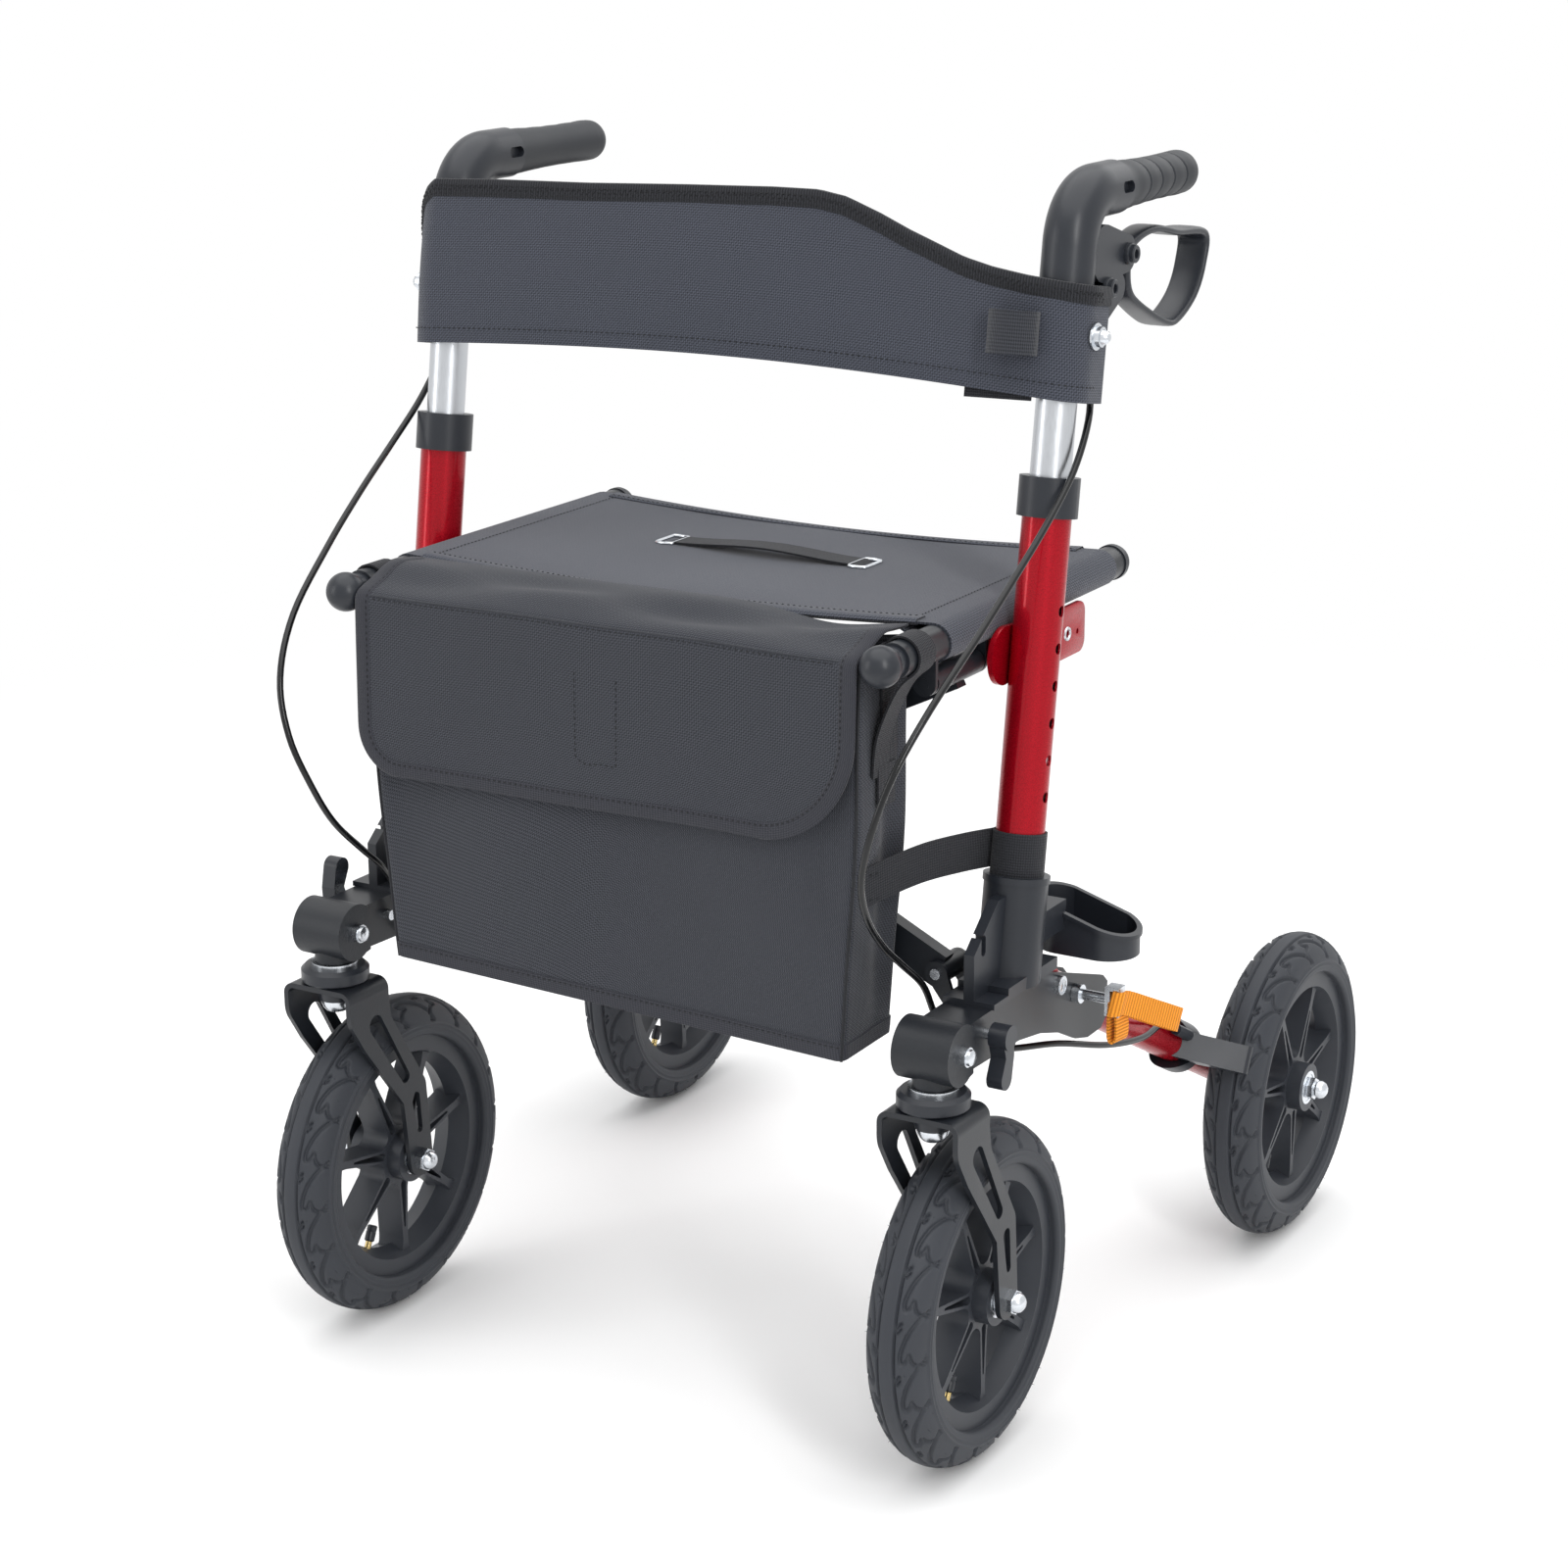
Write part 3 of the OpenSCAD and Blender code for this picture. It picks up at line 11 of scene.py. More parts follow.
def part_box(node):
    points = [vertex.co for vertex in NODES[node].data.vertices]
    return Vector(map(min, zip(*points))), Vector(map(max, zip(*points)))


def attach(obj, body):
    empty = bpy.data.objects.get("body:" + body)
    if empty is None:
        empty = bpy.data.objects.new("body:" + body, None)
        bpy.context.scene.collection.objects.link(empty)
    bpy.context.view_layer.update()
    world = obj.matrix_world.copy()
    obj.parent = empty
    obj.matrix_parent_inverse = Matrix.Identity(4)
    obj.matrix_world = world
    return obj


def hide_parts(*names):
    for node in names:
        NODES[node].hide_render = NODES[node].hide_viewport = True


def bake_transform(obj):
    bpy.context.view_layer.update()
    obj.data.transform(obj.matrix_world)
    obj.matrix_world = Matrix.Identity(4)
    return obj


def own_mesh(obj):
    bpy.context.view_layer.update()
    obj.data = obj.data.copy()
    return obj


bl_info = {
    "name": "All terrain rollator",
    "version": (1, 0, 0),
    "blender": (4, 5, 0),
    "location": "View3D > Sidebar > Rollator",
    "description": "Finishes, tyres, cables, cloth and fittings of a folding outdoor rollator",
    "category": "Object",
}

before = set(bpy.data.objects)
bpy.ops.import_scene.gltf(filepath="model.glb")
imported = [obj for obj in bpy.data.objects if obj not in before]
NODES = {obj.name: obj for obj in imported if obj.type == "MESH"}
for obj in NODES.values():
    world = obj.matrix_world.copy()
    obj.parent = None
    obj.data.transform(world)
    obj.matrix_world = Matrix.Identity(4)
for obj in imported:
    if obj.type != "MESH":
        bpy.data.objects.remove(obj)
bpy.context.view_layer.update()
MM = 0.001
SIDES = (("left", 1), ("right", -1))

# places in millimetres, the same as in the part's source
FRAME_X = 258.0
LEAN = math.radians(8.6)
UPRIGHT = (-189.0, 347.0)
FRONT_AXLE = (258.0, -243.0, 127.0)
REAR_AXLE = (300.0, 243.0, 127.0)
TYRE_R, TYRE_HALF, LIP_R, BEAD_R, BEAD_HALF = 127.0, 24.0, 99.0, 92.2, 12.8
SEAT_X, SEAT_Z, SEAT_Y = 222.0, 600.0, (-238.0, 28.0)
SLEEVE_R = 13.0
BAG_HALF, BAG_Y, BAG_Z = 205.0, (-314.0, -236.0), (318.0, 606.0)
GRIP_Y, GRIP_LEN, HANDLE_Z = -46.0, 128.0, 891.0
PIVOT = (-50.04, 846.0)
CABLE_ROUTE = [
    (258, -62, 823), (258, -66, 812), (259.5, -73, 793), (267, -92, 764), (276, -114, 738), (279, -142, 708),
    (279, -180, 680), (277, -222, 652), (273, -268, 620), (265, -322, 580), (254, -354, 540),
    (242, -362, 500), (230, -354, 462), (225, -336, 430), (222, -308, 402), (223, -284, 382),
    (229, -264, 362), (231, -252, 340), (232, -240, 318), (240, -212, 299), (256, -176, 290),
    (270, -130, 281), (282, -70, 262), (284, -10, 248), (279, 40, 242), (276, 72.5, 226)]
CABLE_SPLIT = 18
BAND_TOP = [
    (-1, 0), (-0.986, 0.5), (-0.961, 0.7), (-0.926, 0.83), (-0.73, 0.87), (-0.44, 0.9), (-0.14, 0.96),
    (0.12, 1), (0.25, 1), (0.33, 0.93), (0.43, 0.74), (0.516, 0.55), (0.586, 0.415), (0.67, 0.25),
    (0.75, 0.15), (0.845, 0.075), (1, 0)]
LEVER_LOOP = [
    (22, -4, 5), (36, 6, 4.5), (64, 10, 4), (100, 4, 4), (148, -2, 5), (147, -24, 3.6), (132, -45, 3.6),
    (104, -59, 4), (82, -59, 4), (38, -40, 4), (22, -26, 5)]


def linear(code):
    """A sRGB hex colour as the linear values that a shader takes."""
    parts = [int(code[k:k + 2], 16) / 255 for k in (1, 3, 5)]
    return [c / 12.92 if c <= 0.04045 else ((c + 0.055) / 1.055) ** 2.4 for c in parts]


def colour(label, code, text):
    return bpy.props.FloatVectorProperty(
        name=label, description=text, subtype="COLOR", size=3, min=0, max=1, default=linear(code))


def length(label, value, text):
    return bpy.props.FloatProperty(name=label, description=text, unit="LENGTH", default=value * MM, min=0)


class RollatorColours(bpy.types.PropertyGroup):
    """Colours of the finishes."""
    red: colour("Red tube", "#a00619", "Candy red of the uprights and rear legs")
    coat: colour("Black coat", "#1b1e23", "Powder coat of the channels, forks and brace")
    plastic: colour("Black plastic", "#23262c", "Moulded sockets, elbows and levers")
    silver: colour("Silver tube", "#c4c7cb", "Anodised handle tubes")
    zinc: colour("Zinc", "#d2d6db", "Plated bolts, nuts and pins")
    rubber: colour("Tyre", "#2f3238", "Tyre rubber")
    rim: colour("Rim", "#303339", "Glass filled nylon of the wheels")
    grip: colour("Grip", "#202328", "Soft rubber of the grips")
    cable: colour("Cable", "#0d0e10", "Sheath of the brake cables")
    cloth: colour("Cloth", "#3a3d46", "Woven polyester of seat, bag and band")
    canvas: colour("Bag cloth", "#33353b", "Heavier polyester of the bag and its flap")
    edging: colour("Bag edging", "#313238", "Tape round the edges of the bag and its flap")
    binding: colour("Binding", "#242529", "Tape round the cloth's edges")
    webbing: colour("Webbing", "#25262a", "Black straps")
    orange: colour("Orange webbing", "#e8912a", "Pull loops of the lock pins")
    thread: colour("Thread", "#141518", "Stitches")
    brass: colour("Brass", "#c9b27a", "Valve stems")
    floor: colour("Floor", "#fdfdfd", "Studio floor")


class RollatorSizes(bpy.types.PropertyGroup):
    """Sizes of the details that the scene adds."""
    cable_d: length("Cable", 5, "Outside diameter of a brake cable")
    groove: length("Tread groove", 2.2, "Depth of the tread's grooves")
    hair: length("Rubber hair", 3.2, "Length of the moulding hairs on the tyres")
    weave: length("Weave", 1.8, "Pitch of the cloth's twill, coarser than the real 0.6 mm so that it shows")
    stitch: length("Stitch", 3.4, "Length of one stitch")
    binding_w: length("Binding width", 12, "Width of the binding tape on each face")
    cloth_t: length("Cloth thickness", 1.6, "Thickness of seat, bag and flap cloth")
    band_t: length("Band thickness", 5, "Thickness of the padded back band")
    tread: bpy.props.IntProperty(
        name="Tread repeats", description="Leaf shapes round each side of a tyre", default=20, min=12, max=28)


def hue():
    return bpy.context.scene.rollator_colours


def size():
    return bpy.context.scene.rollator_sizes


# materials, with the sizes of their patterns in millimetres

DRIFT, CLOTH_DRIFT, FLAKE, PEEL, FUZZ = 45.0, 70.0, 0.5, 5.0, 0.8


def feed(tree, node, sockets):
    """Sets sockets of a node, each to a value or to another node's output."""
    for key, value in sockets.items():
        if isinstance(value, bpy.types.NodeSocket):
            tree.links.new(value, node.inputs[key])
        else:
            node.inputs[key].default_value = value


def add(tree, kind, sockets=None, **settings):
    """Adds a node with its settings and sockets."""
    node = tree.nodes.new(kind)
    for key, value in settings.items():
        setattr(node, key, value)
    feed(tree, node, sockets or {})
    return node


def blank(name, **sockets):
    """A new material with its Principled shader's uniform values set on the sockets."""
    made = bpy.data.materials.new(name)
    made.use_nodes = True
    shader = made.node_tree.nodes["Principled BSDF"]
    for key, value in sockets.items():
        shader.inputs[key.replace("_", " ")].default_value = value
    return made, made.node_tree, shader


def dress(tree, shader, tone, gloss, relief, bumped="Normal"):
    """Links the tone, gloss and relief of a surface to its shader."""
    feed(tree, shader, {"Base Color": tone.outputs[2], "Roughness": gloss.outputs["Result"],
                        bumped: relief.outputs["Normal"]})


def tint(base, share):
    return [min(1.0, c * share) for c in base] + [1.0]


def grained(name, base, rough, grain, bump, spread=0.14, **sockets):
    """Moulded, cast or coated surface: fine grain in the bump, slow drift in tone and gloss."""
    made, tree, shader = blank(name, Specular_IOR_Level=0.38, **sockets)
    place = add(tree, "ShaderNodeTexCoord").outputs["Object"]
    grit = add(tree, "ShaderNodeTexNoise", {"Vector": place, "Scale": 1 / (grain * MM), "Detail": 3.0})
    drift = add(tree, "ShaderNodeTexNoise", {"Vector": place, "Scale": 1 / (DRIFT * MM), "Detail": 4.0})
    tone = add(tree, "ShaderNodeMix", {
        0: drift.outputs["Fac"], 6: tint(base, 1 - spread), 7: tint(base, 1 + spread)}, data_type="RGBA")
    gloss = add(tree, "ShaderNodeMapRange", {
        "Value": drift.outputs["Fac"], "To Min": rough - 0.07, "To Max": rough + 0.07})
    relief = add(tree, "ShaderNodeBump", {
        "Height": grit.outputs["Fac"], "Strength": bump, "Distance": 0.25 * grain * MM})
    dress(tree, shader, tone, gloss, relief)
    return made


def candy(name, base):
    """Candy lacquer on steel: metal flake under a clear coat, bright on top and deep at the edges."""
    made, tree, shader = blank(
        name, Metallic=0.45, Specular_IOR_Level=0.1, Coat_Weight=0.28, Coat_Roughness=0.06)
    place = add(tree, "ShaderNodeTexCoord").outputs["Object"]
    flake = add(tree, "ShaderNodeTexVoronoi", {"Vector": place, "Scale": 1 / (FLAKE * MM)})
    spark = add(tree, "ShaderNodeSeparateColor", {"Color": flake.outputs["Color"]})
    tone = add(tree, "ShaderNodeMix", {0: spark.outputs["Red"], 6: tint(base, 0.85), 7: tint(base, 1.12)},
               data_type="RGBA")
    gloss = add(tree, "ShaderNodeMapRange", {"Value": spark.outputs["Green"], "To Min": 0.2, "To Max": 0.36})
    peel = add(tree, "ShaderNodeTexNoise", {"Vector": place, "Scale": 1 / (PEEL * MM), "Detail": 1.0})
    relief = add(tree, "ShaderNodeBump", {
        "Height": peel.outputs["Fac"], "Strength": 0.05, "Distance": 0.4 * MM})
    dress(tree, shader, tone, gloss, relief, "Coat Normal")
    return made


def metal(name, base, rough, stretch):
    """Bare or plated metal: fine lines along one way, set by how the pattern is stretched."""
    made, tree, shader = blank(name, Metallic=1.0)
    place = add(tree, "ShaderNodeTexCoord").outputs["Object"]
    turn = add(tree, "ShaderNodeMapping", {"Vector": place, "Scale": stretch})
    lines = add(tree, "ShaderNodeTexNoise", {"Vector": turn.outputs["Vector"], "Scale": 1.0, "Detail": 3.0})
    tone = add(tree, "ShaderNodeMix", {0: lines.outputs["Fac"], 6: tint(base, 0.9), 7: tint(base, 1.08)},
               data_type="RGBA")
    gloss = add(tree, "ShaderNodeMapRange", {
        "Value": lines.outputs["Fac"], "To Min": rough - 0.08, "To Max": rough + 0.1})
    relief = add(tree, "ShaderNodeBump", {
        "Height": lines.outputs["Fac"], "Strength": 0.06, "Distance": 0.3 * MM})
    dress(tree, shader, tone, gloss, relief)
    return made


def woven(name, base, across, along, twill, depth, low, high, sheen=0.2):
    """Woven cloth or tape: threads on the piece's own UV map in metres, across, along and as a twill."""
    made, tree, shader = blank(name, Sheen_Weight=sheen, Sheen_Roughness=0.45, Specular_IOR_Level=0.25)
    place = add(tree, "ShaderNodeTexCoord").outputs["UV"]
    fuzz = {"Vector": place, "Scale": 1 / (FUZZ * MM), "Detail": 2.0}
    cross = add(tree, "ShaderNodeTexNoise", fuzz).outputs["Fac"]
    layers = 1
    for pitch, way in ((across, "X"), (along, "Y"), (twill, "DIAGONAL")):
        if pitch:
            thread = add(tree, "ShaderNodeTexWave", {
                "Vector": place, "Scale": math.pi / (10 * pitch * MM), "Distortion": 0.0},
                wave_type="BANDS", bands_direction=way)
            both = {0: cross, 1: thread.outputs["Fac"]}
            cross = add(tree, "ShaderNodeMath", both, operation="ADD").outputs[0]
            layers += 1
    slow = {"Vector": place, "Scale": 1 / (CLOTH_DRIFT * MM), "Detail": 3.0}
    drift = add(tree, "ShaderNodeTexNoise", slow).outputs["Fac"]
    show = add(tree, "ShaderNodeMapRange", {
        "Value": cross, "From Min": 0.25 * layers, "From Max": 0.75 * layers}).outputs["Result"]
    worn = add(tree, "ShaderNodeMix", {0: drift, 6: tint(base, low - 0.08), 7: tint(base, low + 0.08)},
               data_type="RGBA")
    tone = add(tree, "ShaderNodeMix", {0: show, 6: worn.outputs[2], 7: tint(base, high)}, data_type="RGBA")
    relief = add(tree, "ShaderNodeBump", {"Height": cross, "Strength": 0.5, "Distance": depth * MM})
    gloss = add(tree, "ShaderNodeMapRange", {"Value": show, "To Min": 0.92, "To Max": 0.74})
    dress(tree, shader, tone, gloss, relief)
    return made


def seen(tree):
    """One for rays that show a surface to the eye, straight or in a gloss; none for rays that only light."""
    ray = add(tree, "ShaderNodeLightPath").outputs
    eye = ray["Is Camera Ray"]
    for kind in ("Is Glossy Ray", "Is Transmission Ray"):
        eye = add(tree, "ShaderNodeMath", {0: eye, 1: ray[kind]}, operation="MAXIMUM").outputs[0]
    return eye


FINISH = {}


def mix_finishes():
    """All finishes, each from what the real surface is."""
    c = hue()
    pitch = size().weave / MM
    FINISH.update(
        red=candy("candy_lacquer_red", c.red),
        coat=grained("powder_coat_black", c.coat, 0.36, 1.4, 0.18),
        cast=grained("cast_and_coated_black", c.coat, 0.46, 2.2, 0.3),
        plastic=grained("moulded_abs_black", c.plastic, 0.36, 0.7, 0.14),
        rim=grained("glass_filled_nylon", c.rim, 0.46, 1.0, 0.2),
        tyre=grained("tyre_rubber", c.rubber, 0.58, 0.9, 0.28, 0.2),
        grip=grained("grip_rubber", c.grip, 0.5, 0.6, 0.2),
        cable=grained("pvc_cable_sheath", c.cable, 0.18, 2.0, 0.05),
        thread=grained("bonded_thread", c.thread, 0.7, 0.5, 0.3),
        zinc=metal("bright_zinc_plate", c.zinc, 0.24, (260, 260, 260)),
        silver=metal("anodised_aluminium", c.silver, 0.32, (900, 900, 25)),
        brass=metal("turned_brass", c.brass, 0.25, (400, 400, 400)),
        cloth=woven("polyester_twill", c.cloth, pitch, pitch, 0.85 * pitch, 0.35, 0.5, 1.65),
        canvas=woven("coated_polyester_twill", c.canvas, pitch, pitch, 0.85 * pitch, 0.35, 0.5, 1.6, 0.12),
        edging=woven("folded_edging_tape", c.edging, 2.2, 1.6, 0, 0.3, 0.75, 1.3, 0.1),
        binding=woven("grosgrain_binding", c.binding, 2.2, 0, 0, 0.5, 0.6, 1.4, 0.1),
        webbing=woven("polypropylene_webbing", c.webbing, 1.7, 1.9, 0, 0.5, 0.7, 1.4, 0.1),
        elastic=woven("knitted_elastic", c.canvas, 1.5, 2.4, 0, 0.7, 0.5, 1.3),
        orange=woven("orange_webbing", c.orange, 2.6, 0, 0, 0.8, 0.6, 1.15, 0.05),
    )


# modelling helpers


def fresh():
    """Object mode with nothing selected."""
    if bpy.context.object and bpy.context.object.mode != "OBJECT":
        bpy.ops.object.mode_set(mode="OBJECT")
    bpy.ops.object.select_all(action="DESELECT")


def only(o):
    fresh()
    o.select_set(True)
    bpy.context.view_layer.objects.active = o


def named(name):
    o = bpy.context.object
    o.name = o.data.name = name
    return o


def work(o, kind, **settings):
    """Adds a modifier and applies it."""
    only(o)
    step = o.modifiers.new(kind.lower(), kind)
    for key, value in settings.items():
        setattr(step, key, value)
    bpy.ops.object.modifier_apply(modifier=step.name)
    return o


def weld(o, turn=True):
    """Merges doubles and points the faces outwards."""
    only(o)
    bpy.ops.object.mode_set(mode="EDIT")
    bpy.ops.mesh.select_all(action="SELECT")
    bpy.ops.mesh.remove_doubles(threshold=1e-6)
    if turn:
        bpy.ops.mesh.normals_make_consistent(inside=False)
    bpy.ops.object.mode_set(mode="OBJECT")
    return o


def join(name, parts):
    """Several meshes made one piece; each keeps its own finish."""
    fresh()
    for o in parts:
        o.select_set(True)
    bpy.context.view_layer.objects.active = parts[0]
    bpy.ops.object.join()
    return named(name)


def coat(o, finish, angle=35):
    o.data.materials.clear()
    o.data.materials.append(FINISH[finish])
    only(o)
    bpy.ops.object.shade_smooth_by_angle(angle=math.radians(angle))
    return o


def place(o, body, slot):
    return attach(o, body)


def fit(name, parts, finish, body, slot, angle=35):
    """Several meshes made one piece of one finish, on its body."""
    return place(coat(join(name, parts), finish, angle), body, slot)


def mesh_of(name, verts, faces):
    """A mesh from points in millimetres and its faces."""
    mesh = bpy.data.meshes.new(name)
    mesh.from_pydata([tuple(v * MM) for v in verts], [], faces)
    o = bpy.data.objects.new(name, mesh)
    bpy.context.scene.collection.objects.link(o)
    return weld(o)


def block(name, centre, sizes, tilt=0.0):
    """A box in millimetres, tilted about the X axis through its centre."""
    fresh()
    bpy.ops.mesh.primitive_cube_add(size=1)
    o = named(name)
    o.data.transform(Matrix.Translation([c * MM for c in centre]) @ Matrix.Rotation(tilt, 4, "X")
                     @ Matrix.Diagonal([c * MM for c in sizes] + [1]))
    return o


def steps_along(points, per=6, closed=False):
    """A smooth line through points, with some steps between each two."""
    p = np.asarray(points, float)
    n = len(p)
    out = []
    for i in range(n if closed else n - 1):
        if closed:
            a, b, c, d = (p[(i + k) % n] for k in (-1, 0, 1, 2))
        else:
            a, b, c, d = (p[min(max(i + k, 0), n - 1)] for k in (-1, 0, 1, 2))
        for k in range(per):
            t = k / per
            out.append((2 * b + (c - a) * t + (2 * a - 5 * b + 4 * c - d) * t ** 2
                        + (3 * b - a - 3 * c + d) * t ** 3) / 2)
    if not closed:
        out.append(p[-1])
    return np.array(out)


def even(points, count):
    """The same line with points at even distances."""
    p = np.asarray(points, float)
    run = np.r_[0, np.cumsum(np.linalg.norm(np.diff(p, axis=0), axis=1))]
    at = np.linspace(0, run[-1], count)
    return np.c_[[np.interp(at, run, p[:, k]) for k in range(p.shape[1])]].T


def drape(name, table):
    """A grid primitive laid on a table of points in millimetres; its UV map holds metres both ways."""
    p = np.asarray(table, float) * MM
    rows, cols = p.shape[:2]
    fresh()
    bpy.ops.mesh.primitive_grid_add(x_subdivisions=cols - 1, y_subdivisions=rows - 1, size=1)
    o = named(name)
    o.data.vertices.foreach_set("co", p.reshape(-1))
    u = np.zeros((rows, cols))
    v = np.zeros((rows, cols))
    u[:, 1:] = np.cumsum(np.linalg.norm(np.diff(p, axis=1), axis=2), axis=1)
    v[1:] = np.cumsum(np.linalg.norm(np.diff(p, axis=0), axis=2), axis=0)
    u -= u[:, cols // 2:cols // 2 + 1]
    corner = np.zeros(len(o.data.loops), np.int32)
    o.data.loops.foreach_get("vertex_index", corner)
    flat = np.stack([u.ravel()[corner], v.ravel()[corner]], axis=1)
    o.data.uv_layers.active.data.foreach_set("uv", flat.ravel())
    o.data.update()
    return o


def ribbon(name, path, across, half, thick):
    """Flat webbing: a centre line in millimetres, its direction across, and its thickness."""
    path = np.asarray(path, float)
    across = np.asarray(across, float)
    if across.ndim == 1:
        across = np.tile(across, (len(path), 1))
    across = across / np.linalg.norm(across, axis=1)[:, None]
    o = drape(name, [path + k * half * across for k in (-1, -0.5, 0, 0.5, 1)])
    return work(o, "SOLIDIFY", thickness=thick * MM, offset=0.0, use_rim=True)


def tube(name, path, radius, sides=10, closed=False):
    """A round bar along a path in millimetres, made from a bevelled curve."""
    p = np.asarray(path, float) * MM
    fresh()
    bpy.ops.curve.primitive_nurbs_path_add(location=(0, 0, 0))
    o = named(name)
    o.data.splines.clear()
    line = o.data.splines.new("POLY")
    line.points.add(len(p) - 1)
    line.points.foreach_set("co", np.c_[p, np.ones(len(p))].ravel())
    line.use_cyclic_u = closed
    o.data.dimensions = "3D"
    o.data.twist_mode = "MINIMUM"
    o.data.bevel_depth = radius * MM
    o.data.bevel_resolution = max(0, sides // 2 - 2)
    o.data.use_fill_caps = not closed
    only(o)
    bpy.ops.object.convert(target="MESH")
    return weld(named(name))


def turned(name, profile, centre, axis=(1, 0, 0), steps=28, ring=False):
    """A profile of (radius, height) in millimetres spun about an axis, as on a lathe."""
    fresh()
    bpy.ops.mesh.primitive_circle_add(vertices=len(profile), radius=1, fill_type="NOTHING")
    o = named(name)
    o.data.vertices.foreach_set("co", [c * MM for r, h in profile for c in (r, 0, h)])
    bpy.ops.object.mode_set(mode="EDIT")
    if not ring:
        ends = {0, len(profile) - 1}
        bm = bmesh.from_edit_mesh(o.data)
        for v in bm.verts:
            v.select = v.index in ends
        bm.select_flush_mode()
        for e in bm.edges:
            e.select = {v.index for v in e.verts} == ends
        bmesh.update_edit_mesh(o.data)
        bpy.ops.mesh.delete(type="EDGE")
    bpy.ops.mesh.select_all(action="SELECT")
    bpy.ops.mesh.spin(steps=steps, angle=2 * math.pi, center=(0, 0, 0), axis=(0, 0, 1))
    bpy.ops.object.mode_set(mode="OBJECT")
    weld(o)
    turn = Vector((0, 0, 1)).rotation_difference(Vector(axis)).to_matrix().to_4x4()
    o.data.transform(Matrix.Translation(Vector(centre) * MM) @ turn)
    return o


def stitches(name, path, normal, pitch=1.35, radius=0.55):
    """A row of stitches: one short pointed thread, copied along a path in millimetres."""
    long = size().stitch / MM
    path = np.asarray(path, float)
    total = np.linalg.norm(np.diff(path, axis=0), axis=1).sum()
    count = max(2, int(total / (long * pitch)))
    marks = even(np.c_[path, np.broadcast_to(np.asarray(normal, float), path.shape)], 2 * count + 1)
    verts, faces = [], []
    for k in range(count):
        a, b = marks[2 * k], marks[2 * k + 1]
        up = a[3:] / np.linalg.norm(a[3:])
        run = b[:3] - a[:3]
        mid = a[:3] + run / 2
        side = np.cross(up, run / np.linalg.norm(run))
        base = len(verts)
        verts += [mid - run * 0.62, mid + run * 0.62] + [
            mid + radius * (math.cos(t) * side + math.sin(t) * up) for t in np.arange(5) * math.tau / 5]
        for j in range(5):
            m, n = base + 2 + j, base + 2 + (j + 1) % 5
            faces += [(base, n, m), (base + 1, m, n)]
    return coat(mesh_of(name, verts, faces), "thread")


def leaned(x, y, s):
    """A point in the leaned frame of the uprights, in millimetres."""
    return np.array([x, UPRIGHT[0] + y * math.cos(LEAN) + s * math.sin(LEAN),
                     UPRIGHT[1] - y * math.sin(LEAN) + s * math.cos(LEAN)])


UP = leaned(0, 0, 1) - leaned(0, 0, 0)


def with_fold(o, body, slot, anchor, keep):
    """Puts the cloth on its body and gives it a mesh of its own."""
    place(o, body, slot)
    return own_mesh(o)


# share of the width that is left of the cloth when the frame is folded
SEAT_KEEP, BAND_KEEP = 0.232, 0.37
SEAT_FOLD = ("left_seat", "cloth", SEAT_X, SEAT_KEEP)


# operators


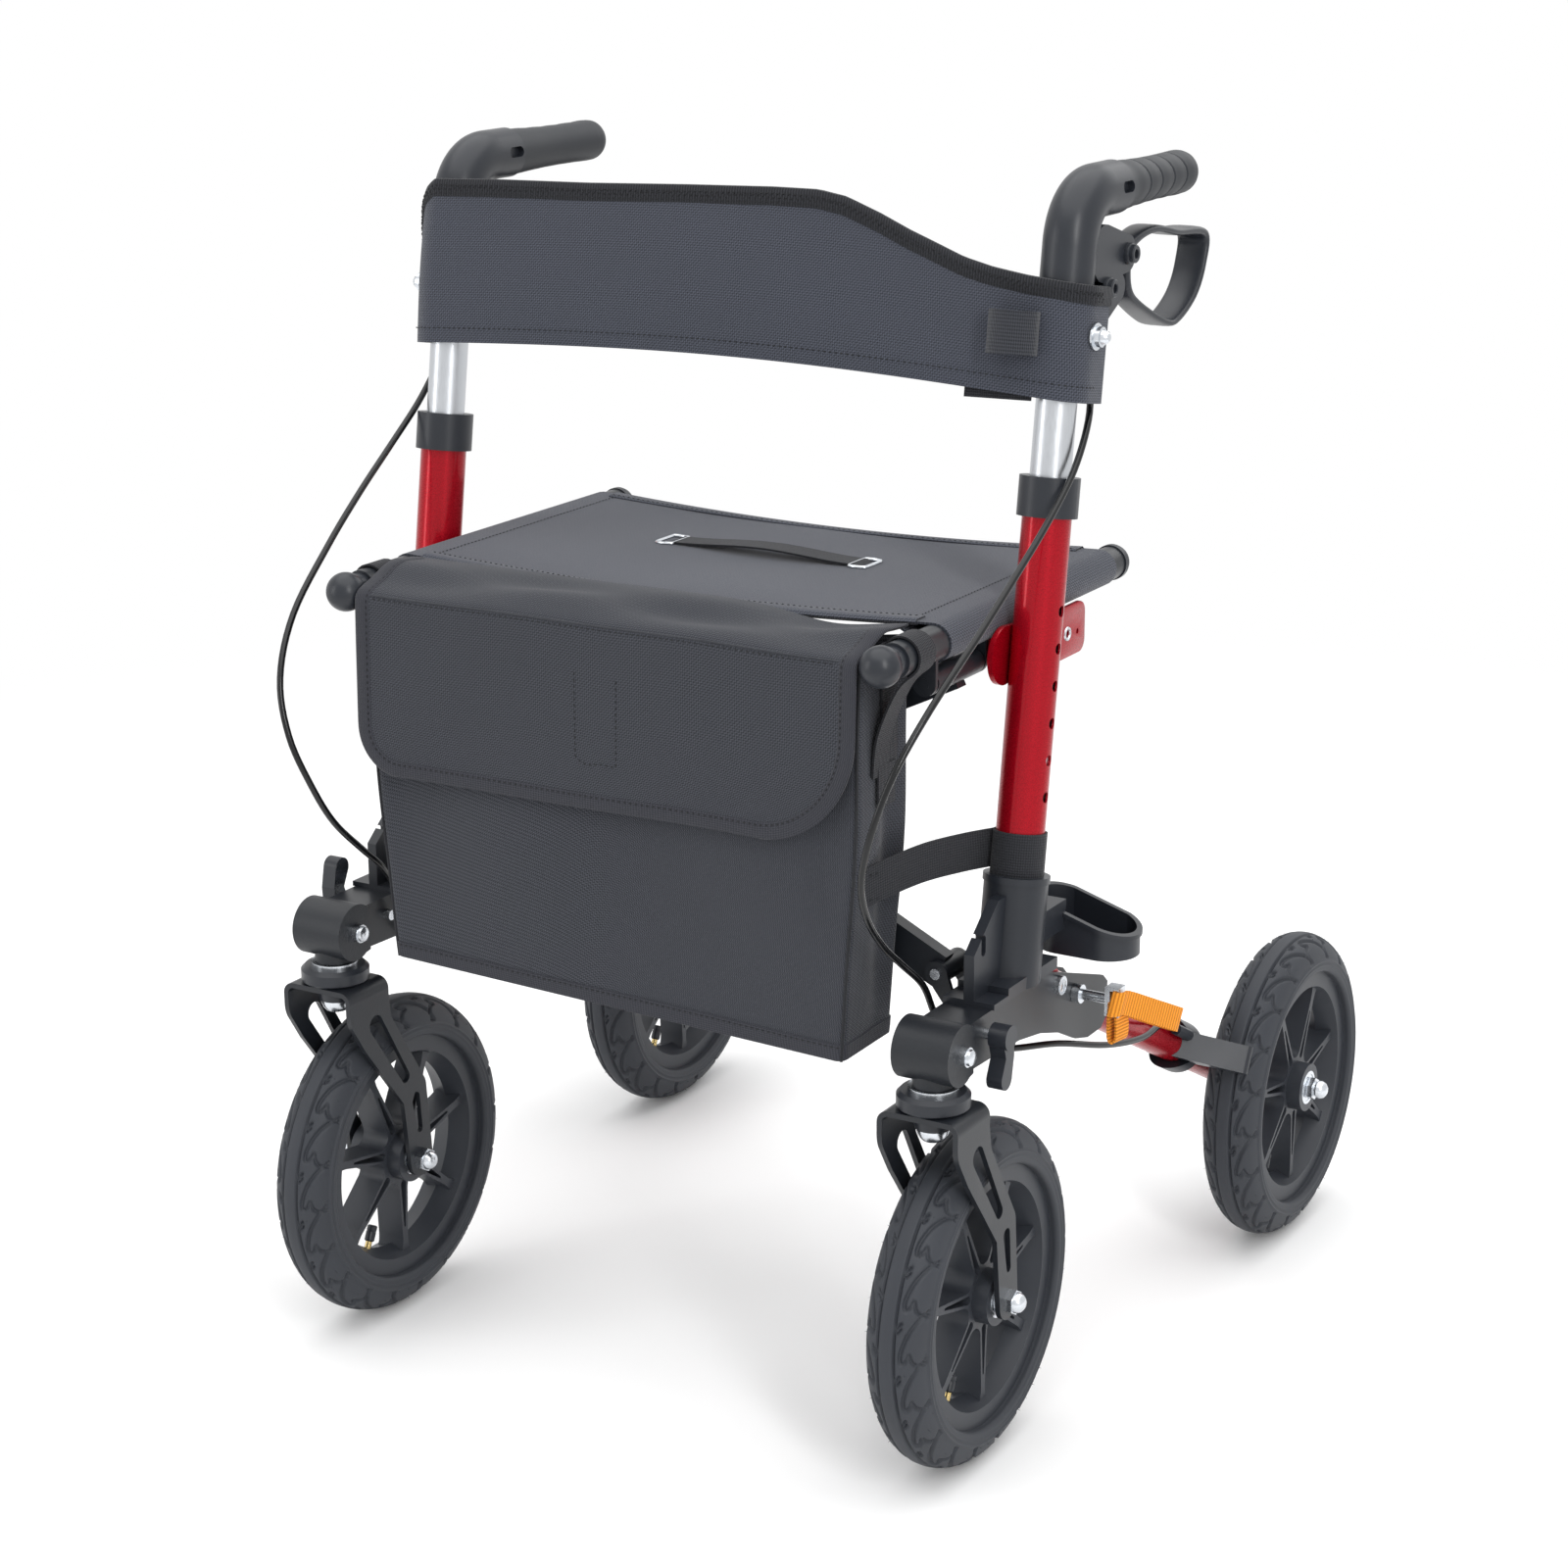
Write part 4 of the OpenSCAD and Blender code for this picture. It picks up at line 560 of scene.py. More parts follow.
class RollatorStage(bpy.types.Operator):
    """Floor, soft lamps, pale surroundings and the camera."""
    bl_idname = "rollator.stage"
    bl_label = "Studio"
    # the camera as solved from the photo: its place in metres, its axes and its lens
    eye_at, eye_right = (1.22381, -2.14585, 1.14111), Vector((0.86378, 0.50385, -0.00375))
    eye_back = Vector((0.48389, -0.82743, 0.28497))
    lens, sensor, shift = 74.7, 36.0, (-0.00398, -0.00107)
    floor_r, fade_from, fade_to, aim = 4.5, 0.7, 2.2, Vector((0, 0, 0.45))
    # place, width and height in metres, and watts; the tall key lamp shows as a bright line along tubes
    lamps = (("ceiling", (0, 0, 6), 10, 10, 400), ("key", (2.4, -1.9, 2.0), 0.4, 1.9, 36),
             ("fill", (-2.2, -2.4, 1.2), 0.6, 1.9, 14), ("rear", (0.6, 2.8, 2.1), 2.0, 2.0, 10))

    def execute(self, context):
        context.scene.view_settings.view_transform = "Standard"
        fresh()
        self.camera(context)
        self.floor()
        self.light(context)
        self.sky(context.scene)
        mix_finishes()
        return {"FINISHED"}

    def camera(self, context):
        bpy.ops.object.camera_add(location=self.eye_at)
        eye = context.object
        turn = Matrix((self.eye_right, self.eye_back.cross(self.eye_right), self.eye_back)).transposed()
        eye.matrix_world = Matrix.Translation(eye.location) @ turn.to_4x4()
        eye.data.lens = self.lens
        eye.data.sensor_width = self.sensor
        eye.data.shift_x, eye.data.shift_y = self.shift
        context.scene.camera = eye

    def floor(self):
        """A matt floor that goes over into the white surroundings away from the object."""
        bpy.ops.mesh.primitive_circle_add(vertices=128, radius=self.floor_r, fill_type="NGON")
        floor = named("studio_floor")
        made, tree, shader = blank("matt_floor_paint", Roughness=0.85, Specular_IOR_Level=0.1)
        shader.inputs["Base Color"].default_value = tint(hue().floor, 1)
        spot = add(tree, "ShaderNodeTexCoord").outputs["Object"]
        reach = add(tree, "ShaderNodeVectorMath", {0: spot}, operation="LENGTH").outputs["Value"]
        fade = add(tree, "ShaderNodeMapRange", {
            "Value": reach, "From Min": self.fade_from, "From Max": self.fade_to},
            interpolation_type="SMOOTHSTEP").outputs["Result"]
        fade = add(tree, "ShaderNodeMath", {0: fade, 1: seen(tree)}, operation="MULTIPLY").outputs[0]
        white = add(tree, "ShaderNodeEmission", {"Color": (1, 1, 1, 1), "Strength": 1.0})
        mixed = add(tree, "ShaderNodeMixShader", {0: fade, 1: shader.outputs[0], 2: white.outputs[0]})
        tree.links.new(mixed.outputs[0], tree.nodes["Material Output"].inputs["Surface"])
        floor.data.materials.append(made)

    def light(self, context):
        for name, spot, wide, high, power in self.lamps:
            bpy.ops.object.light_add(type="AREA", location=spot)
            lamp = context.object
            lamp.name = name + "_lamp"
            lamp.data.shape = "ELLIPSE" if wide == high else "RECTANGLE"
            lamp.data.size, lamp.data.size_y = wide, high
            lamp.data.energy = power
            lamp.rotation_euler = (self.aim - Vector(spot)).to_track_quat("-Z", "Y").to_euler()

    def sky(self, scene):
        """White to the eye, and dimmer as a light."""
        world = scene.world or bpy.data.worlds.new("surroundings")
        scene.world = world
        world.use_nodes = True
        tree = world.node_tree
        level = add(tree, "ShaderNodeMapRange", {"Value": seen(tree), "To Min": 0.6, "To Max": 1.0})
        sky = tree.nodes["Background"]
        sky.inputs["Color"].default_value = (1, 1, 1, 1)
        tree.links.new(level.outputs["Result"], sky.inputs["Strength"])


class RollatorCables(bpy.types.Operator):
    """Two brake cables, each in an upper and a lower run that meet under the side channel."""
    bl_idname = "rollator.cables"
    bl_label = "Brake cables"
    steps, sides = 6, 12

    def execute(self, context):
        wide = size().cable_d / MM
        for side, s in SIDES:
            route = np.array(CABLE_ROUTE, float) * (s, 1, 1)
            line = steps_along(route, self.steps)
            cut = CABLE_SPLIT * self.steps
            for part, run, other, near, far in (
                    ("upper", line[cut::-1], side + "_handle", (0.25, -0.24, 0.36), (0.26, -0.09, 0.80)),
                    ("lower", line[cut:], side + "_leg", (0.24, -0.21, 0.30), (0.28, 0.03, 0.24))):
                o = coat(tube(f"{side}_cable_{part}", run, wide / 2, self.sides), "cable")
                near, far = ((p[0] * s, p[1], p[2]) for p in (near, far))
                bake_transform(o)
                if part == "upper":
                    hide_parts(side + "_brake_cable")
        return {"FINISHED"}


class RollatorFinishes(bpy.types.Operator):
    """Finishes on the CAD solids that stay in view."""
    bl_idname = "rollator.finishes"
    bl_label = "Finishes of the frame"
    # where a node's second material begins
    bearing_r, stud_x, tube_ends = 14.03, 282.2, (-296.0, 46.0)
    bolt_y, bolt_z, bolt_r, bolt_half = -213.0, 466.0, 7.2, 12.0

    def execute(self, context):
        kinds = {
            "coat": ("side_channel", "caster_fork", "seat_tube"), "cast": ("caster_knuckle",),
            "plastic": (
                "upright_mouldings", "caster_headset", "handle_housing", "brake_block", "clamp_lever"),
            "red": ("upright_tube", "seat_support", "rear_leg"), "silver": ("handle_tube",),
            "zinc": ("caster_hardware", "rear_axle", "side_bolts", "lock_pin"),
            "rim": ("front_rim", "rear_rim"),
        }
        for finish, stems in kinds.items():
            for stem in stems:
                for side, _ in SIDES:
                    self.paint(NODES[f"{side}_{stem}"], finish)
        for node, finish in (("cross_bar_a", "coat"), ("cross_bar_b", "coat"), ("cane_cup", "plastic")):
            self.paint(NODES[node], finish)
        # second finishes on nodes that hold more than one material
        front, rear = self.tube_ends
        for side, _ in SIDES:
            for end, (_, y, z) in (("front", FRONT_AXLE), ("rear", REAR_AXLE)):
                self.second(NODES[f"{side}_{end}_rim"], "zinc",
                            lambda p, y=y, z=z: math.hypot(p[1] - y, p[2] - z) < self.bearing_r)
            self.second(NODES[side + "_clamp_lever"], "zinc", lambda p: abs(p[0]) < self.stud_x)
            self.second(NODES[side + "_seat_tube"], "plastic", lambda p: p[1] < front or p[1] > rear)
        self.second(NODES["cross_bar_b"], "zinc", self.on_bolt)
        return {"FINISHED"}

    def on_bolt(self, p):
        """On the head or the nut of the brace's centre bolt."""
        near = math.hypot(p[0], p[2] - self.bolt_z) < self.bolt_r
        return near and abs(p[1] - self.bolt_y) > self.bolt_half

    def paint(self, o, finish):
        o.data.materials.clear()
        o.data.materials.append(FINISH[finish])

    def second(self, o, finish, test):
        o.data.materials.append(FINISH[finish])
        for face in o.data.polygons:
            if test([c / MM for c in face.center]):
                face.material_index = 1


class RollatorTyres(bpy.types.Operator):
    """Four air tyres with cut tread, side lines and moulding hairs."""
    bl_idname = "rollator.tyres"
    bl_label = "Tyres"
    turns, over, tread_r, hair_count = 640, math.radians(99.5), 122, 110

    def execute(self, context):
        for end, (x, y, z) in (("front", FRONT_AXLE), ("rear", REAR_AXLE)):
            base = self.tyre()
            for side, s in SIDES:
                o = base
                if s > 0:
                    only(base)
                    bpy.ops.object.duplicate()
                    o = context.object
                o.name = o.data.name = f"{side}_{end}_air_tyre"
                o.data.transform(Matrix.Translation((s * x * MM, y * MM, z * MM)))
                coat(o, "tyre", 50)
                place(o, f"{side}_{end}_wheel", "tyre")
                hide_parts(f"{side}_{end}_tyre")
        return {"FINISHED"}

    def tyre(self):
        """A tyre about the X axis at the origin."""
        ring_r = TYRE_R - TYRE_HALF
        profile = [(ring_r + TYRE_HALF * math.cos(t), TYRE_HALF * math.sin(t))
                   for t in np.linspace(-self.over, self.over, 122)]
        bead = [(LIP_R - 1.4, 22.6), (LIP_R - 2.2, 20), (LIP_R - 1.6, 17.6), (BEAD_R + 2, BEAD_HALF),
                (BEAD_R, 10)]
        profile = [(r, -h) for r, h in reversed(bead)] + profile + bead
        o = turned("air_tyre", profile, (0, 0, 0), (1, 0, 0), self.turns, ring=True)
        p = np.zeros(len(o.data.vertices) * 3)
        o.data.vertices.foreach_get("co", p)
        p = p.reshape(-1, 3) / MM
        r = np.hypot(p[:, 1], p[:, 2])
        turn = np.arctan2(p[:, 1], p[:, 2])
        tilt = np.arctan2(p[:, 0], r - ring_r)
        s = tilt * TYRE_HALF
        drop = -self.grooves(turn, s) * size().groove / MM
        # raised line on the sidewall, and a fine step where the tread ends
        side_line = 0.9 * np.exp(-((np.abs(s) - 34.0) / 0.9) ** 2)
        tread_end = 0.5 * np.exp(-((np.abs(s) - 37.5) / 0.7) ** 2)
        drop += side_line + tread_end
        drop *= np.abs(tilt) < self.over - 0.01
        p[:, 0] += drop * np.sin(tilt)
        grow = 1 + drop * np.cos(tilt) / r
        p[:, 1] *= grow
        p[:, 2] *= grow
        o.data.vertices.foreach_set("co", (p * MM).ravel())
        o.data.update()
        return join("air_tyre", [o, self.hairs(ring_r)])

    def grooves(self, turn, s):
        """How deep, from 0 to 1, the tread is cut at each angle and distance from the crown."""
        pitch = math.tau * self.tread_r / size().tread
        leaf = [(38, 31), (30, 22.5), (20, 16), (11, 12.6), (4, 11), (0, 11.2), (-1.2, 12.2), (-0.6, 14),
                (1.5, 16), (5, 17.4), (2, 18.4), (-1.5, 20.4), (-3.6, 23.4), (-4.2, 27), (-3.8, 31)]
        nicks = [(23, 7.4), (27.5, 10.6)], [(20.5, 8.6), (23.5, 10.8)]
        marks = [steps_along(leaf, 3), *(np.array(nick) for nick in nicks)]
        cut = np.zeros(len(s))
        for way in (1, -1):
            here = np.where(np.sign(s) == way)[0]
            t = (turn[here] * self.tread_r + (pitch / 2 if way < 0 else 0)) % pitch
            a = np.abs(s[here])
            near = np.full(len(here), 9.0)
            for line, half in zip(marks, (1.3, 1.1, 0.9)):
                for (t0, s0), (t1, s1) in zip(line[:-1], line[1:]):
                    for shift in (-pitch, 0, pitch):
                        dt, ds = t1 - t0, s1 - s0
                        k = np.clip(((t - t0 - shift) * dt + (a - s0) * ds) / (dt * dt + ds * ds), 0, 1)
                        near = np.minimum(near, np.hypot(t - t0 - shift - k * dt, a - s0 - k * ds) / half)
            near = np.minimum(near, np.abs(a - 6.4) / 0.9)
            cut[here] = np.clip(1.5 - near, 0, 1)
        return cut

    def hairs(self, ring_r):
        """Thin rubber hairs left by the mould's vents."""
        pick = random.Random(7)
        verts, faces = [], []
        long = size().hair / MM
        for k in range(self.hair_count):
            way = 1 if k % 2 else -1
            turn = math.tau * (k + 0.3 * pick.random()) / self.hair_count
            tilt = way * pick.choice((14.0, 24.0, 31.0)) / TYRE_HALF
            out = np.array([math.sin(tilt), math.cos(tilt) * math.sin(turn), math.cos(tilt) * math.cos(turn)])
            foot = np.array([0, ring_r * math.sin(turn), ring_r * math.cos(turn)]) + (TYRE_HALF - 0.3) * out
            lie = np.array([pick.uniform(-0.5, 0.5), math.cos(turn), -math.sin(turn)])
            lie *= pick.uniform(-0.7, 0.7)
            u = np.cross(out, (1, 0.2, 0.1))
            v = np.cross(out, u / np.linalg.norm(u))
            base = len(verts)
            verts += [foot + 0.35 * (math.cos(a) * u + math.sin(a) * v) for a in (0, 2.09, 4.19)]
            verts.append(foot + (out + lie) * long * pick.uniform(0.6, 1.0) * 0.8)
            faces += [(base, base + 1, base + 3), (base + 1, base + 2, base + 3), (base + 2, base, base + 3),
                      (base, base + 2, base + 1)]
        return mesh_of("hairs", verts, faces)


class RollatorWheelFittings(bpy.types.Operator):
    """Air valves, dome nuts on the axles and bolt caps on the knuckles."""
    bl_idname = "rollator.wheel_fittings"
    bl_label = "Wheel fittings"
    # the valve between two spokes: its turn about the axle, and how far out its stem and cap start
    valve_turn, stem_r, cap_r = math.radians(3 * 360 / 7), 73, 60
    stem = [(0, 0), (2.6, 0), (2.6, 12), (0, 12)]
    cap = [(0, 0), (3.2, 0), (4, 1), (4, 4), (3.6, 4.6), (4, 5.2), (4, 12), (3, 13), (0, 13)]
    dome = [(0, 7.5), (3.4, 7), (6, 5.2), (7.4, 2.6), (7.8, 0), (0, 0)]
    head = [(0, 3.4), (4.5, 3.2), (5.6, 2.4), (6, 0), (0, 0)]
    # outer and inner end of each axle and bolt, from its middle
    front_ends, rear_ends = (37, -37), (33, -63)
    bolts = (((27, -27), (-301, 331)), ((20, -20), (-146, 333)))

    def execute(self, context):
        for side, s in SIDES:
            for end, (x, y, z) in (("front", FRONT_AXLE), ("rear", REAR_AXLE)):
                out = Vector((0, -math.sin(self.valve_turn), math.cos(self.valve_turn)))
                hub = Vector((s * x, y, z))
                stem = turned("stem", self.stem, hub + self.stem_r * out, out, 16)
                cap = turned("cap", self.cap, hub + self.cap_r * out, out, 16)
                valve = join(f"{side}_{end}_valve", [coat(cap, "plastic"), coat(stem, "brass")])
                place(valve, f"{side}_{end}_wheel", "rim")
            front = self.pair(s, self.dome, FRONT_AXLE[0], self.front_ends, FRONT_AXLE[1:])
            fit(side + "_front_axle_caps", front, "zinc", side + "_caster", "zinc")
            rear = self.pair(s, self.dome, REAR_AXLE[0], self.rear_ends, REAR_AXLE[1:])
            fit(side + "_rear_axle_caps", rear, "zinc", side + "_leg", "zinc")
            heads = [o for ends, at in self.bolts for o in self.pair(s, self.head, FRAME_X, ends, at)]
            fit(side + "_bolt_heads", heads, "zinc", side + "_side", "zinc")
        return {"FINISHED"}

    def pair(self, s, profile, x, ends, at):
        """One turned head at each end of an axle or bolt."""
        return [turned("head", profile, (s * (x + end), *at), (s * k, 0, 0)) for end, k in zip(ends, (1, -1))]


class RollatorBrackets(bpy.types.Operator):
    """Rear tabs of the red seat brackets, with an eyelet, and the round rear ends of the seat tubes."""
    bl_idname = "rollator.brackets"
    bl_label = "Seat brackets"
    tab_x, tab_y, tab_z, corner, eyelet = (236.2, 240.2), (-112.0, -35.0), (553.0, 591.0), 9.0, (-65.0, 571.0)
    # y, z and radius: the plate's own two holes, and the two of the solid bracket, which it leaves open
    holes = ((*eyelet, 3.0), (-48.0, 569.5, 2.0), (-103.2, 577.0, 3.2), (-93.2, 577.0, 2.2))
    rim = [(3.2, 0), (5.4, 0), (5.0, 0.9), (3.6, 0.9)]
    dome = [(0, 10), (5, 9.3), (9.5, 6.8), (12.3, 3.2), (13.2, 0), (13.2, -2), (0, -2)]

    def execute(self, context):
        for side, s in SIDES:
            tab = self.tab(s)
            tab.name = tab.data.name = side + "_bracket_tab"
            place(coat(tab, "red"), side + "_side", "red_paint")
            rims = [turned("eyelet", self.rim, (s * x, *self.eyelet), (s * k, 0, 0), 24, True)
                    for x, k in ((self.tab_x[1], 1), (self.tab_x[0], -1))]
            fit(side + "_bracket_eyelet", rims, "zinc", side + "_side", "zinc")
            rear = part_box(side + "_seat_tube")[1][1] / MM
            end = turned(side + "_tube_end", self.dome, (s * SEAT_X, rear, SEAT_Z), (0, 1, 0), 36)
            place(coat(end, "plastic", 60), side + "_seat", "black_plastic")
        return {"FINISHED"}

    def tab(self, s):
        """A plate with round corners and holes."""
        (x0, x1), (y0, y1), (z0, z1) = self.tab_x, self.tab_y, self.tab_z
        mid = s * (x0 + x1) / 2
        o = block("tab", (mid, (y0 + y1) / 2, (z0 + z1) / 2), (x1 - x0, y1 - y0, z1 - z0))
        bpy.ops.object.mode_set(mode="EDIT")
        bm = bmesh.from_edit_mesh(o.data)
        for e in bm.edges:
            e.select = abs(e.verts[0].co.x - e.verts[1].co.x) > 1 * MM
        bmesh.update_edit_mesh(o.data)
        bpy.ops.mesh.bevel(offset=self.corner * MM, segments=6, affect="EDGES")
        bpy.ops.object.mode_set(mode="OBJECT")
        work(o, "BEVEL", width=0.6 * MM, segments=2, limit_method="ANGLE", angle_limit=math.radians(50))
        for y, z, r in self.holes:
            drill = turned("drill", [(0, -8), (r, -8), (r, 8), (0, 8)], (mid, y, z), (1, 0, 0), 24)
            work(o, "BOOLEAN", object=drill, operation="DIFFERENCE", solver="EXACT")
            bpy.data.objects.remove(drill)
        return o


class RollatorSeat(bpy.types.Operator):
    """Cloth seat with sleeves on both tubes, its hems, and the pull strap with wire frames."""
    bl_idname = "rollator.seat"
    bl_label = "Seat"
    # how far the cloth lies above the tubes' middle, its dip, and the half width between the sleeves
    rise, dip, tight, under = 14.4, 6, 205, 1.2
    pull_x, pull_y = 84, -86

    def line(self, x):
        """Height of the cloth across the seat."""
        return SEAT_Z + self.rise - self.dip * (1 - (x / SEAT_X) ** 2)

    def loose(self, x):
        """How free the cloth is: one in the middle, none at the sleeves."""
        return max(0.0, 1 - (abs(x) / self.tight) ** 2)

    def execute(self, context):
        half = [(188, self.line(188) - self.under), (200, 605)]
        half += [(SEAT_X + SLEEVE_R * math.cos(t), SEAT_Z + SLEEVE_R * math.sin(t))
                 for t in np.radians(np.arange(180, 451, 18))]
        across = [(x, self.line(x) - self.under) for x in np.linspace(self.tight, -self.tight, 60)]
        section = half + across + [(-x, z) for x, z in reversed(half)]
        rows = []
        for y in np.linspace(SEAT_Y[0], SEAT_Y[1], 52):
            v = (y - SEAT_Y[0]) / (SEAT_Y[1] - SEAT_Y[0])
            edge = 2.0 * (math.exp(-v / 0.05) + math.exp(-(1 - v) / 0.05))
            row = []
            for x, z in section:
                loose = self.loose(x)
                wave = 0.7 * math.sin(x / 31 + 2.1 * v) * math.sin(3 * math.pi * v) * loose
                row.append((x, y, z - edge * loose + (wave if abs(x) < self.tight else 0)))
            rows.append(row)
        seat = drape("seat_sling", rows)
        work(seat, "SOLIDIFY", thickness=size().cloth_t, offset=0.0)
        coat(seat, "cloth", 60)
        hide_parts("seat_fabric")
        with_fold(seat, *SEAT_FOLD)
        trims = []
        for y, turn in ((SEAT_Y[0], 1), (SEAT_Y[1], -1)):
            hem = [[(x, y + turn * d, self.line(x) + h - 2.2 * self.loose(x) * math.exp(-max(d, 0) / 13))
                    for x in np.linspace(-208, 208, 60)]
                   for d, h in ((14, -0.1), (13, 0.8), (1, 0.9), (-1, -0.6), (1, -3.2), (13, -3.2))]
            fold = work(drape("hem", hem), "SOLIDIFY", thickness=0.5 * MM, offset=0.0)
            trims.append(coat(fold, "cloth", 60))
            path = [(x, y + turn * 11, self.line(x) + 1.2 - 1.1 * self.loose(x))
                    for x in np.linspace(-206, 206, 60)]
            trims.append(stitches("hem_stitch", path, (0, 0, 1)))
        for s in (1, -1):
            path = [(s * 203, y, self.line(203) + 0.3) for y in np.linspace(SEAT_Y[0] + 4, SEAT_Y[1] - 4, 40)]
            trims.append(stitches("sleeve_stitch", path, (0, 0, 1)))
        with_fold(join("seat_hems", trims), *SEAT_FOLD)
        top = []
        for x in np.linspace(-self.pull_x, self.pull_x, 40):
            arch = 1.4 + 4.5 * math.cos(math.pi * x / (2 * self.pull_x)) ** 2 if abs(x) < 80 else -1
            top.append((x, self.pull_y, self.line(x) + arch))
        pull = [coat(ribbon("pull", top, (0, 1, 0), 11, 1.5), "webbing")]
        wire = [(-5.5, -13), (0, -14), (5.5, -13), (7, -10), (7, 10), (5.5, 13), (0, 14), (-5.5, 13),
                (-7, 10), (-7, -10)]
        for s in (1, -1):
            ring = [(s * self.pull_x + dx, self.pull_y + dy, self.line(self.pull_x) + 1.0) for dx, dy in wire]
            pull.append(coat(tube("wire", steps_along(ring, 3, True), 1.3, 8, True), "zinc"))
        strap = join("seat_pull_strap", pull)
        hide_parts("seat_strap")
        with_fold(strap, "left_seat", "webbing", SEAT_X, SEAT_KEEP)
        return {"FINISHED"}


class RollatorBand(bpy.types.Operator):
    """Padded back band with binding tape, hem stitches, cane loop, tab and side bolts."""
    bl_idname = "rollator.band"
    bl_label = "Back band"
    half, front, back, corner = 283.0, -25.5, 20.0, 26.0
    # heights up the leaned upright: of the top edge and its rise, of the foot and its arch, of the fittings
    low_top, top_rise, low_foot, foot_arch, bolt_s, loop_s = 489, 53, 410, 11, 456, 455
    loop = [(223, 1.2), (220, 9), (222, 16), (229, 21), (238, 22), (246, 19), (251, 13), (253, 7), (252, 1.2)]
    washer = [(3.2, 0), (9.5, 0), (9.5, 1.3), (3.2, 1.3)]
    nut = [(0, 11), (2.6, 10.6), (4.4, 9), (5.2, 6.6), (5.4, 5.8), (7.2, 5.4), (7.4, 1.3), (0, 1.3)]

    def plan(self):
        """Places round the band as x, y and the outward way, from the left end to the right."""
        side = [(self.half, y, 1.0, 0.0) for y in np.linspace(self.back, 1.5, 6)]
        r = self.corner
        bend = [(self.half - r + r * math.cos(t), 0.5 + r * math.sin(t), math.cos(t), math.sin(t))
                for t in np.radians(np.linspace(0, -90, 18))]
        half = np.array(side + bend)
        face = np.array([(x, self.front, 0, -1) for x in np.linspace(253, -253, 86)])
        return np.vstack([half, face, half[::-1] * (-1, 1, -1, 1)])

    def top(self, x):
        shares = np.array(BAND_TOP)
        return self.low_top + self.top_rise * np.interp(x / self.half, shares[:, 0], shares[:, 1])

    def foot(self, x):
        return self.low_foot + self.foot_arch * math.cos(math.pi / 2 * x / self.half)

    def spot(self, place, s, out):
        x, y, nx, ny = place
        return leaned(x + out * nx, y + out * ny, s)

    def sewn(self, name, height, out):
        """Stitches along the band at a height and a distance off its face, each a function of the place."""
        path = np.array([self.spot(p, height(p), out(p)) for p in self.plan()[4:-4]])
        return stitches(name, path, np.array([self.outward(p) for p in self.plan()[4:-4]]))

    def outward(self, place):
        return self.spot(place, 0, 1) - self.spot(place, 0, 0)

    def execute(self, context):
        plan = self.plan()
        thick = size().band_t / MM
        rows = []
        for v in np.linspace(0, 1, 26):
            row = []
            for p in plan:
                x = p[0]
                s = self.foot(x) + v * (self.top(x) - self.foot(x))
                pad = 1.3 * math.sin(math.pi * v) ** 0.6 * (abs(p[3]) ** 2)
                pad += 0.9 * math.sin(x / 47 + 3 * v) * math.sin(math.pi * v) * abs(p[3])
                row.append(self.spot(p, s, pad - 0.4))
            rows.append(row)
        panel = work(drape("panel", rows), "SOLIDIFY", thickness=thick * MM, offset=1.0)
        parts = [coat(panel, "cloth", 60)]
        wide = size().binding_w / MM
        tape = [(-thick - 0.3, -wide), (-thick - 1.0, -wide + 1), (-thick - 0.8, -2), (-thick + 0.4, 0.8),
                (-2.5, 1.5), (0.2, 0.9), (0.95, -1.5), (1.2, -wide * 0.5), (1.1, -wide + 1), (0.4, -wide)]
        rows = [[self.spot(p, self.top(p[0]) + rise, out) for p in plan] for out, rise in tape]
        parts.append(coat(drape("binding", rows), "binding", 60))
        for rise, out in ((-wide + 2.4, 1.35), (-3.4, 1.3)):
            parts.append(self.sewn(
                "tape_stitch", lambda p, rise=rise: self.top(p[0]) + rise, lambda p, out=out: out))
        lane = even([np.r_[self.spot(p, self.top(p[0]) - wide * 0.5, 1.5), self.outward(p)]
                     for p in plan[4:-4]], 260)
        zig = np.array([np.r_[m[:3] + (2.6 if k % 2 else -2.0) * UP, m[3:]] for k, m in enumerate(lane)])
        parts.append(stitches("zigzag", zig[:, :3], zig[:, 3:], 1.0))
        parts.append(self.sewn(
            "foot_stitch", lambda p: self.foot(p[0]) + 11, lambda p: 0.9 if abs(p[3]) > 0.5 else 0.1))
        # elastic loop for a cane, and the tab under the left end
        line = steps_along([leaned(x, self.front - out, self.loop_s) for x, out in self.loop], 4)
        parts.append(coat(ribbon("cane_loop", line, UP, 15, 1.8), "elastic"))
        tab = [leaned(x, self.front + 7, 414.5 + 0.02 * (x - 196)) for x in np.linspace(196, 247, 12)]
        parts.append(coat(ribbon("tab", tab, UP, 6.5, 2.4), "webbing"))
        band = join("back_band_cloth", parts)
        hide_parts("back_band")
        with_fold(band, "left_handle", "cloth", FRAME_X, BAND_KEEP)
        for side, s in SIDES:
            at = leaned(s * (self.half + 0.2), 0, self.bolt_s)
            parts = [turned("washer", self.washer, at, (s, 0, 0), 28, True),
                     turned("nut", self.nut, at, (s, 0, 0), 12)]
            fit(side + "_band_bolt", parts, "zinc", side + "_handle", "zinc", 30)
        return {"FINISHED"}


